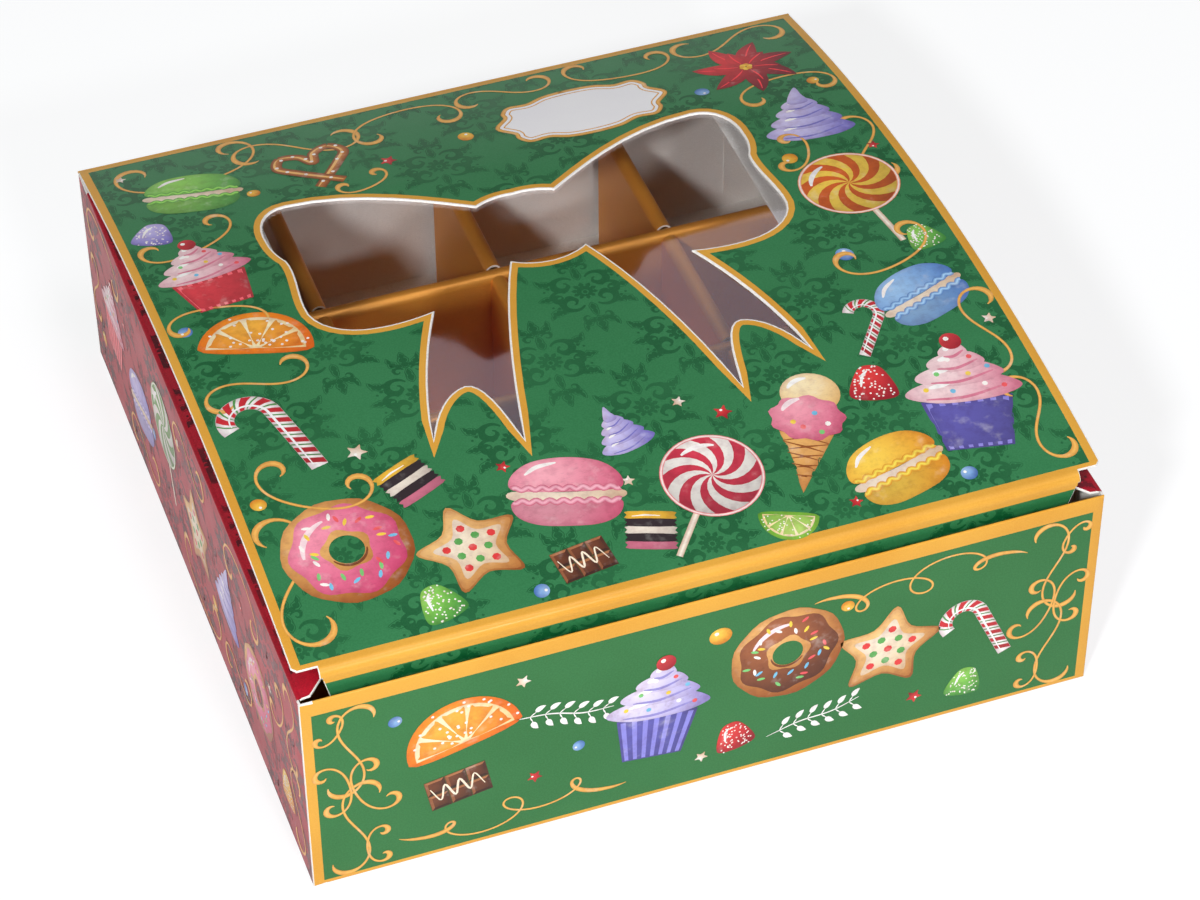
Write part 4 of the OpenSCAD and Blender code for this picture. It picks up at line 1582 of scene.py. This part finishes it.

# %% [markdown]
# ## Gold scrolls
#
# Thin gold scrolls are an old ornament of cartons and frames. Each is two spirals joined by
# a curve that leaves and meets them without a kink. The line is thin on its way and bold in
# its curls, as a broad pen draws it.

# %% Draw the scrolls
# Pen lines are lighter down the middle than at their sides: a painted highlight in the middle and
# painted shade at the sides, as on a rounded gold line.
SCROLL_GOLD_HIGHLIGHT, SCROLL_PAINTED_SHADE = (248, 190, 96), (218, 152, 66)


def double_spiral(centre, length, angle, bulge=0.0, mirror=False, turns=0.75, steps=64):
    """A pen line that winds in at both ends, this long and round this centre. Its bend grows
    evenly to both ends: to opposite sides, as in an S, or with a bulge to the same, as in a C."""
    s = np.linspace(-1, 1, steps)
    bend = 2 * math.pi * turns
    heading = bend * s**2 if not bulge else bulge * math.pi * s + bend * s**3
    path = np.cumsum(np.stack([np.cos(heading), np.sin(heading)], 1), 0)
    axes = np.linalg.svd(path - path.mean(0), full_matrices=False)[2]
    path = path @ axes.T * (1, np.linalg.det(axes) * (-1 if mirror else 1))
    low, high = path.min(0), path.max(0)
    path = (path - (low + high) / 2) * length / (high - low)[0]
    c, s = math.cos(math.radians(angle)), math.sin(math.radians(angle))
    return path @ np.array([[c, s], [-s, c]]) + centre


def pen(ink, path, width=1.5, level=0.0):
    """A gold line, bold in its two curls, that creeps up a little, so it can cross itself."""
    from_end = 0.5 - abs(np.linspace(-0.5, 0.5, len(path)))
    bold = np.exp(-((from_end - 0.1) / 0.07) ** 2)
    width = width * (0.5 + 0.7 * bold) * np.minimum(1, 0.3 + from_end / 0.05)
    levels = level + np.linspace(0, 0.7, 3 * len(path))
    # lighter down the middle, darker at the sides: painted highlight and painted shade
    ink.stroke(path, width, SCROLL_GOLD_HIGHLIGHT, levels, SCROLL_PAINTED_SHADE)


def scrolls(ink, lines, width=1.3):
    """Pen lines from a table: centre, length, angle, bulge, mirrored or not, and turns."""
    for k, line in enumerate(lines):
        pen(ink, double_spiral(*line), width, 0.8 * (k % 5))


def flourish(ink, start, end, height, loops=3, width=1.0):
    """A row of pen loops between two places, highest in the middle."""
    start, end = np.array(start, float), np.array(end, float)
    t = np.linspace(-0.06, 1.06, 44 * loops)
    length = np.linalg.norm(end - start)
    along = (end - start) / length
    up = np.array([-along[1], along[0]])
    swell = 0.45 + 0.55 * np.sin(math.pi * np.clip(t, 0, 1))
    a = 2 * math.pi * (loops * t + 0.25)
    x = t * length - height * 1.05 * swell * np.cos(a)
    y = height * 0.7 * swell * np.sin(a) - height * 0.35 * np.sin(2 * math.pi * t)
    pen(ink, start + x[:, None] * along + y[:, None] * up, width)


print("A scroll takes", len(double_spiral((0, 0), 20, 0)), "points")

# %% [markdown]
# ## The print of each face
#
# The layouts are tables: which motif stands where, how large and how far turned. The lid has
# its sweets round the window, with a blank label behind it and scrolls along its edges. The
# walls carry a looser row of them. Scrolls lie lowest and motifs above, in several pieces a
# face, since an export bakes each piece into a picture of its own.

# %% Lay out motifs
LID_FACE = (lid_sheet, "lid", "green_print")
GREEN, DEEP_GREEN = (150, 214, 90), (62, 142, 56)
LILAC, DEEP_LILAC = (206, 196, 244), (118, 110, 190)
YELLOW, AMBER = (255, 214, 84), (222, 136, 30)
ROSE, DEEP_ROSE = (252, 176, 190), (206, 84, 116)
SKY, DEEP_SKY = (160, 200, 240), (72, 118, 190)
RED, DEEP_RED = (240, 66, 62), (150, 16, 34)
PEARL, DEEP_PEARL = (255, 250, 240), (226, 190, 150)
CREAM, BLUEBERRY = (250, 244, 236), (98, 92, 176)


def strew(name, sheet, body, slot, items):
    """Draws each motif of a table: function, place, half size, turn and its own tones."""
    ink = Ink(sheet, SWEET_LEVEL)
    for draw, place, size, angle, *tones in items:
        draw(Motif(ink, place, size, angle), *tones)
    return ink.piece(name, body, motif_paint, slot)


def confetti(name, sheet, body, slot, places):
    """Small pearls and stars, in turn, at places given as u, v and half size."""
    pairs = ((YELLOW, AMBER), (RED, DEEP_RED), (SKY, DEEP_SKY), (PEARL, DEEP_PEARL))
    ink = Ink(sheet, CONFETTI_LEVEL)
    for k, (u, v, size) in enumerate(places):
        light, dark = pairs[k % len(pairs)]
        m = Motif(ink, (u, v), size, 37 * k)
        if k % 2:
            little_star(m, light, dark)
        else:
            m.shape(circle(1, 0.92, count=20), light, dark)
            m.dots([(-0.35, 0.35)], 0.2, SUGAR, 1)
    return ink.piece(name, body, motif_paint, slot)


print("Tones:", len({GREEN, LILAC, YELLOW, ROSE, SKY, RED}))

# %% Print the lid's motifs
strew("lid_sweets_left", *LID_FACE, (
    (pretzel, (-38, 67), 10.5, 8), (macaron, (-68, 68), 11, -12, GREEN, DEEP_GREEN),
    (cup_cake, (-74, 33.5), 14, 6), (jelly_slice, (-71, 3), 12.8, -18),
    (candy_cane, (-76, -24), 13.5, 14), (gum_drop, (-81, 54), 5.5, -20, LILAC, DEEP_LILAC)))
strew("lid_sweets_front_left", *LID_FACE, (
    (doughnut, (-70, -61.5), 14, 12), (star_biscuit, (-45, -69), 12, 10),
    (gum_drop, (-56, -80.5), 5.6, 15, GREEN, DEEP_GREEN), (layered_sweet, (-52, -47.5), 7, 24),
    (macaron, (-21.5, -61), 12, -16, ROSE, DEEP_ROSE), (choc_bar, (-24, -79), 6.6, 8),
    (meringue, (-5, -48), 7.5, 10)))
strew("lid_sweets_front_right", *LID_FACE, (
    (lollipop, (9.5, -66), 11, -38, CREAM, (226, 60, 84)), (ice_cone, (33.5, -60), 15, -24),
    (jelly_slice, (21, -81), 6.5, 160, (140, 198, 70), (196, 230, 120), (96, 160, 40)),
    (macaron, (48, -76), 10.8, 14, YELLOW, AMBER), (cup_cake, (70, -61), 16.5, -10, BLUEBERRY),
    (gum_drop, (52, -52), 6.2, -14, RED, DEEP_RED), (layered_sweet, (-8, -76), 6.6, -18)))
strew("lid_sweets_right", *LID_FACE, (
    (macaron, (73, -30), 10.5, 20, SKY, DEEP_SKY),
    (lollipop, (73, 12), 11.5, 8, YELLOW, (236, 110, 40)),
    (meringue, (74, 42), 12.5, -8), (red_flower, (70, 69), 13, 10),
    (candy_cane, (57, -35), 8.5, -36), (gum_drop, (81, -12), 5, 10, GREEN, DEEP_GREEN)))
confetti("lid_confetti", *LID_FACE, (
    (-55, 62, 1.6), (-22, 63, 2.2), (-84, 14, 1.8), (-60, -36, 2.4), (-84, -44, 1.8),
    (-32, -50, 1.7), (-35, -84, 1.8), (10, -44, 1.6), (-2, 66, 2.0), (18, -50, 2.2),
    (62, -82, 1.9), (84, -42, 1.7), (64, 26, 2.0), (84, 24, 1.6), (56, 62, 1.8),
    (-82, 82, 1.5), (82, 56, 1.6), (36, -82, 1.6), (62, -12, 2.2), (-8, -62, 1.5)))

# %% Print the lid's scrolls and label
ink = Ink(lid_sheet, SCROLL_LEVEL)
scrolls(ink, (
    ((-66, 79.5), 34, 8, 0.3), ((-40, 79), 30, -8), ((-13, 79.5), 27, 6, 0.3, True),
    ((13, 83.5), 24, 2), ((42, 82.5), 26, -6, 0.2), ((71, 83.8), 28, 4, 0.0, True),
    ((-74, 48), 24, 24, 0.2), ((-76, 16), 22, -10, 0.2, True), ((-74, -8.5), 25, 14),
    ((-72, -43), 25, -30, 0.3), ((-82.8, -66), 34, 86), ((-30, 56), 13, 20, 0.3),
    ((81.8, -45), 26, 82, 0.0, True), ((82.5, -72), 24, 94), ((71, -14), 24, 18, 0.3),
    ((82.6, 24), 26, 84), ((75, 56), 24, 4, 0.2, True), ((66, 28), 15, 70, 0.3)))
ink.piece("lid_scrolls", "lid", motif_paint, "gold_print")


def label(name, sheet, body, place, half):
    """A blank white label with a double gold line."""
    right = [(0, 1), (0.3, 0.95), (0.52, 0.78), (0.74, 0.8), (0.84, 0.58), (0.85, 0.36), (1, 0),
             (0.85, -0.36), (0.84, -0.58), (0.74, -0.8), (0.52, -0.78), (0.3, -0.95)]
    ring = smooth([*right, (0, -1), *[(-x, y) for x, y in right[1:][::-1]]], True, 6)[::-1] * half
    board, lines = Ink(sheet, LABEL_LEVEL), Ink(sheet, LINE_LEVEL)
    board.add(*fill(ring + place, spacing=3), (255, 255, 255))
    for line, width in ((ring, 1.1), (parallel(ring, -1.5), 0.35)):
        # each gold line is lighter down its middle than at its sides: painted highlight and painted
        # shade
        lines.stroke(np.vstack([line, line[:2]]) + place, width, (246, 188, 92), 0, (208, 142, 56))
    board.piece(name, body, label_print, "white_board")
    return lines.piece(name + "_lines", body, motif_paint, "gold_print")


label("lid_label", lid_sheet, "lid", place=(27.0, 66.0), half=(21.0, 10.8))

# %% Print the front and back walls
def wall_scrolls(name, sheet):
    """A group of scrolls at each end, drawn alike, and a flourish at the top and the bottom."""
    ink = Ink(sheet, SCROLL_LEVEL)
    for side in (-1, 1):
        x, left = 79.8 * side, side < 0
        scrolls(ink, (
            ((x, 38.5), 26, 90 + 6 * side, 0.0, left, 0.62),
            ((x, 15), 27, 90 + 6 * side, 0.0, left, 0.62),
            ((x - 4 * side, 26.5), 17, 90 - 20 * side, 0.3, left),
            ((x + 4 * side, 28), 15, 90 - 10 * side, 0.3, not left),
            ((x - 4.5 * side, 8), 11, 90, 0.3, left),
            ((x + 4 * side, 46), 9, 60, 0.3, not left)), 1.1)
    flourish(ink, (28, 44.8), (68, 44.8), height=5.4)
    flourish(ink, (-24, 7.8), (-66, 7.8), height=5.0)
    return ink.piece(name, "tray", motif_paint, "gold_print")


FRONT_ROW = ((jelly_slice, (-55, 32.5), 13, 14), (choc_bar, (-57, 19.5), 7.5, 10),
             (sprig, (-33, 33), 11, -16),
             (cup_cake, (-12, 26.5), 15, -6, (96, 92, 178), (238, 230, 252), (150, 142, 210)),
             (gum_drop, (5.5, 12), 5.2, 12, RED, DEEP_RED))
FRONT_END = ((sprig, (24, 11), 11, 6),
             (doughnut, (17.5, 33.5), 13, -10, (176, 104, 62), (84, 38, 18)),
             (star_biscuit, (41, 26.5), 12.5, -8), (candy_cane, (61.5, 25.5), 10.8, 24),
             (gum_drop, (60, 9.5), 5, -10, GREEN, DEEP_GREEN))
FRONT_CONFETTI = ((2, 44, 2.6), (-40, 16, 1.8), (-30, 22, 1.5), (-2, 8, 1.6), (31, 43, 1.6),
                  (48, 9, 2.0), (-70, 44, 1.6), (-42, 46, 1.8))
for name, sheet in (("front", front_sheet), ("back", back_sheet)):
    face = (sheet, "tray", "green_print")
    wall_scrolls(f"{name}_scrolls", sheet)
    strew(f"{name}_sweets_left", *face, FRONT_ROW)
    strew(f"{name}_sweets_right", *face, FRONT_END)
    confetti(f"{name}_confetti", *face, FRONT_CONFETTI)

# %% Print the side walls
SIDE_ROW = ((cup_cake, (-68, 29), 13, -8), (macaron, (-44, 22), 10.5, 16, LILAC, DEEP_LILAC),
            (lollipop, (-20, 37), 10, 14, CREAM, (120, 180, 84)))
SIDE_END = ((star_biscuit, (6, 27), 11.5, 12), (meringue, (31, 30), 11, -10),
            (doughnut, (55, 24), 11, 20), (gum_drop, (75, 14), 5.5, 10, YELLOW, AMBER))
SIDE_CONFETTI = ((-82, 12, 2.0), (-55, 38, 1.8), (-32, 24, 1.6), (-6, 44, 1.6), (18, 16, 2.0),
                 (44, 40, 1.8), (42, 12, 1.7), (66, 36, 1.6))
for side, sheet in (("left", left_sheet), ("right", right_sheet)):
    face = (sheet, "tray", "red_print")
    ink = Ink(sheet, SCROLL_LEVEL)
    scrolls(ink, (
        ((-72, 48), 28, -4, 0.2, True), ((-45, 8), 26, 4), ((6, 8.5), 30, -3, 0.2),
        ((4, 47), 26, 3), ((36, 11), 22, 10), ((46, 47), 26, -4, 0.3, True), ((82, 39), 24, 86),
        ((83, 15), 24, 94, 0.0, True), ((72, 36), 16, 60, 0.3), ((-85, 26), 20, 80)))
    ink.piece(f"{side}_scrolls", "tray", motif_paint, "gold_print")
    strew(f"{side}_sweets_back", *face, SIDE_ROW)
    strew(f"{side}_sweets_front", *face, SIDE_END)
    confetti(f"{side}_confetti", *face, SIDE_CONFETTI)

# %% [markdown]
# ## Card, film and tabs
#
# The ridges and row floors of the insert already have the right shape in the CAD model, and
# so have the film and the glue tabs. These nodes keep their meshes and only get their
# finishes.

# %% Finish the CAD nodes that stay
def dress(names, material):
    """Gives CAD nodes a finish."""
    for name in names:
        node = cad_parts[name]
        node.data.materials.clear()
        node.data.materials.append(material)
    return len(names)


rows = [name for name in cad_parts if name.startswith("row_")]
crossing = [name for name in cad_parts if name.startswith("cross_ridge")]
tabs = [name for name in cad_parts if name.startswith("corner_tab")]
print("Dressed", dress(rows, card_along), "row pieces,",
      dress(crossing, card_across), "cross ridges,",
      dress(tabs, white_board), "tabs and",
      dress(["window_film"], film), "film")

# %% [markdown]
# The box that the visual model fills must stay that of the CAD model, apart from the ink.
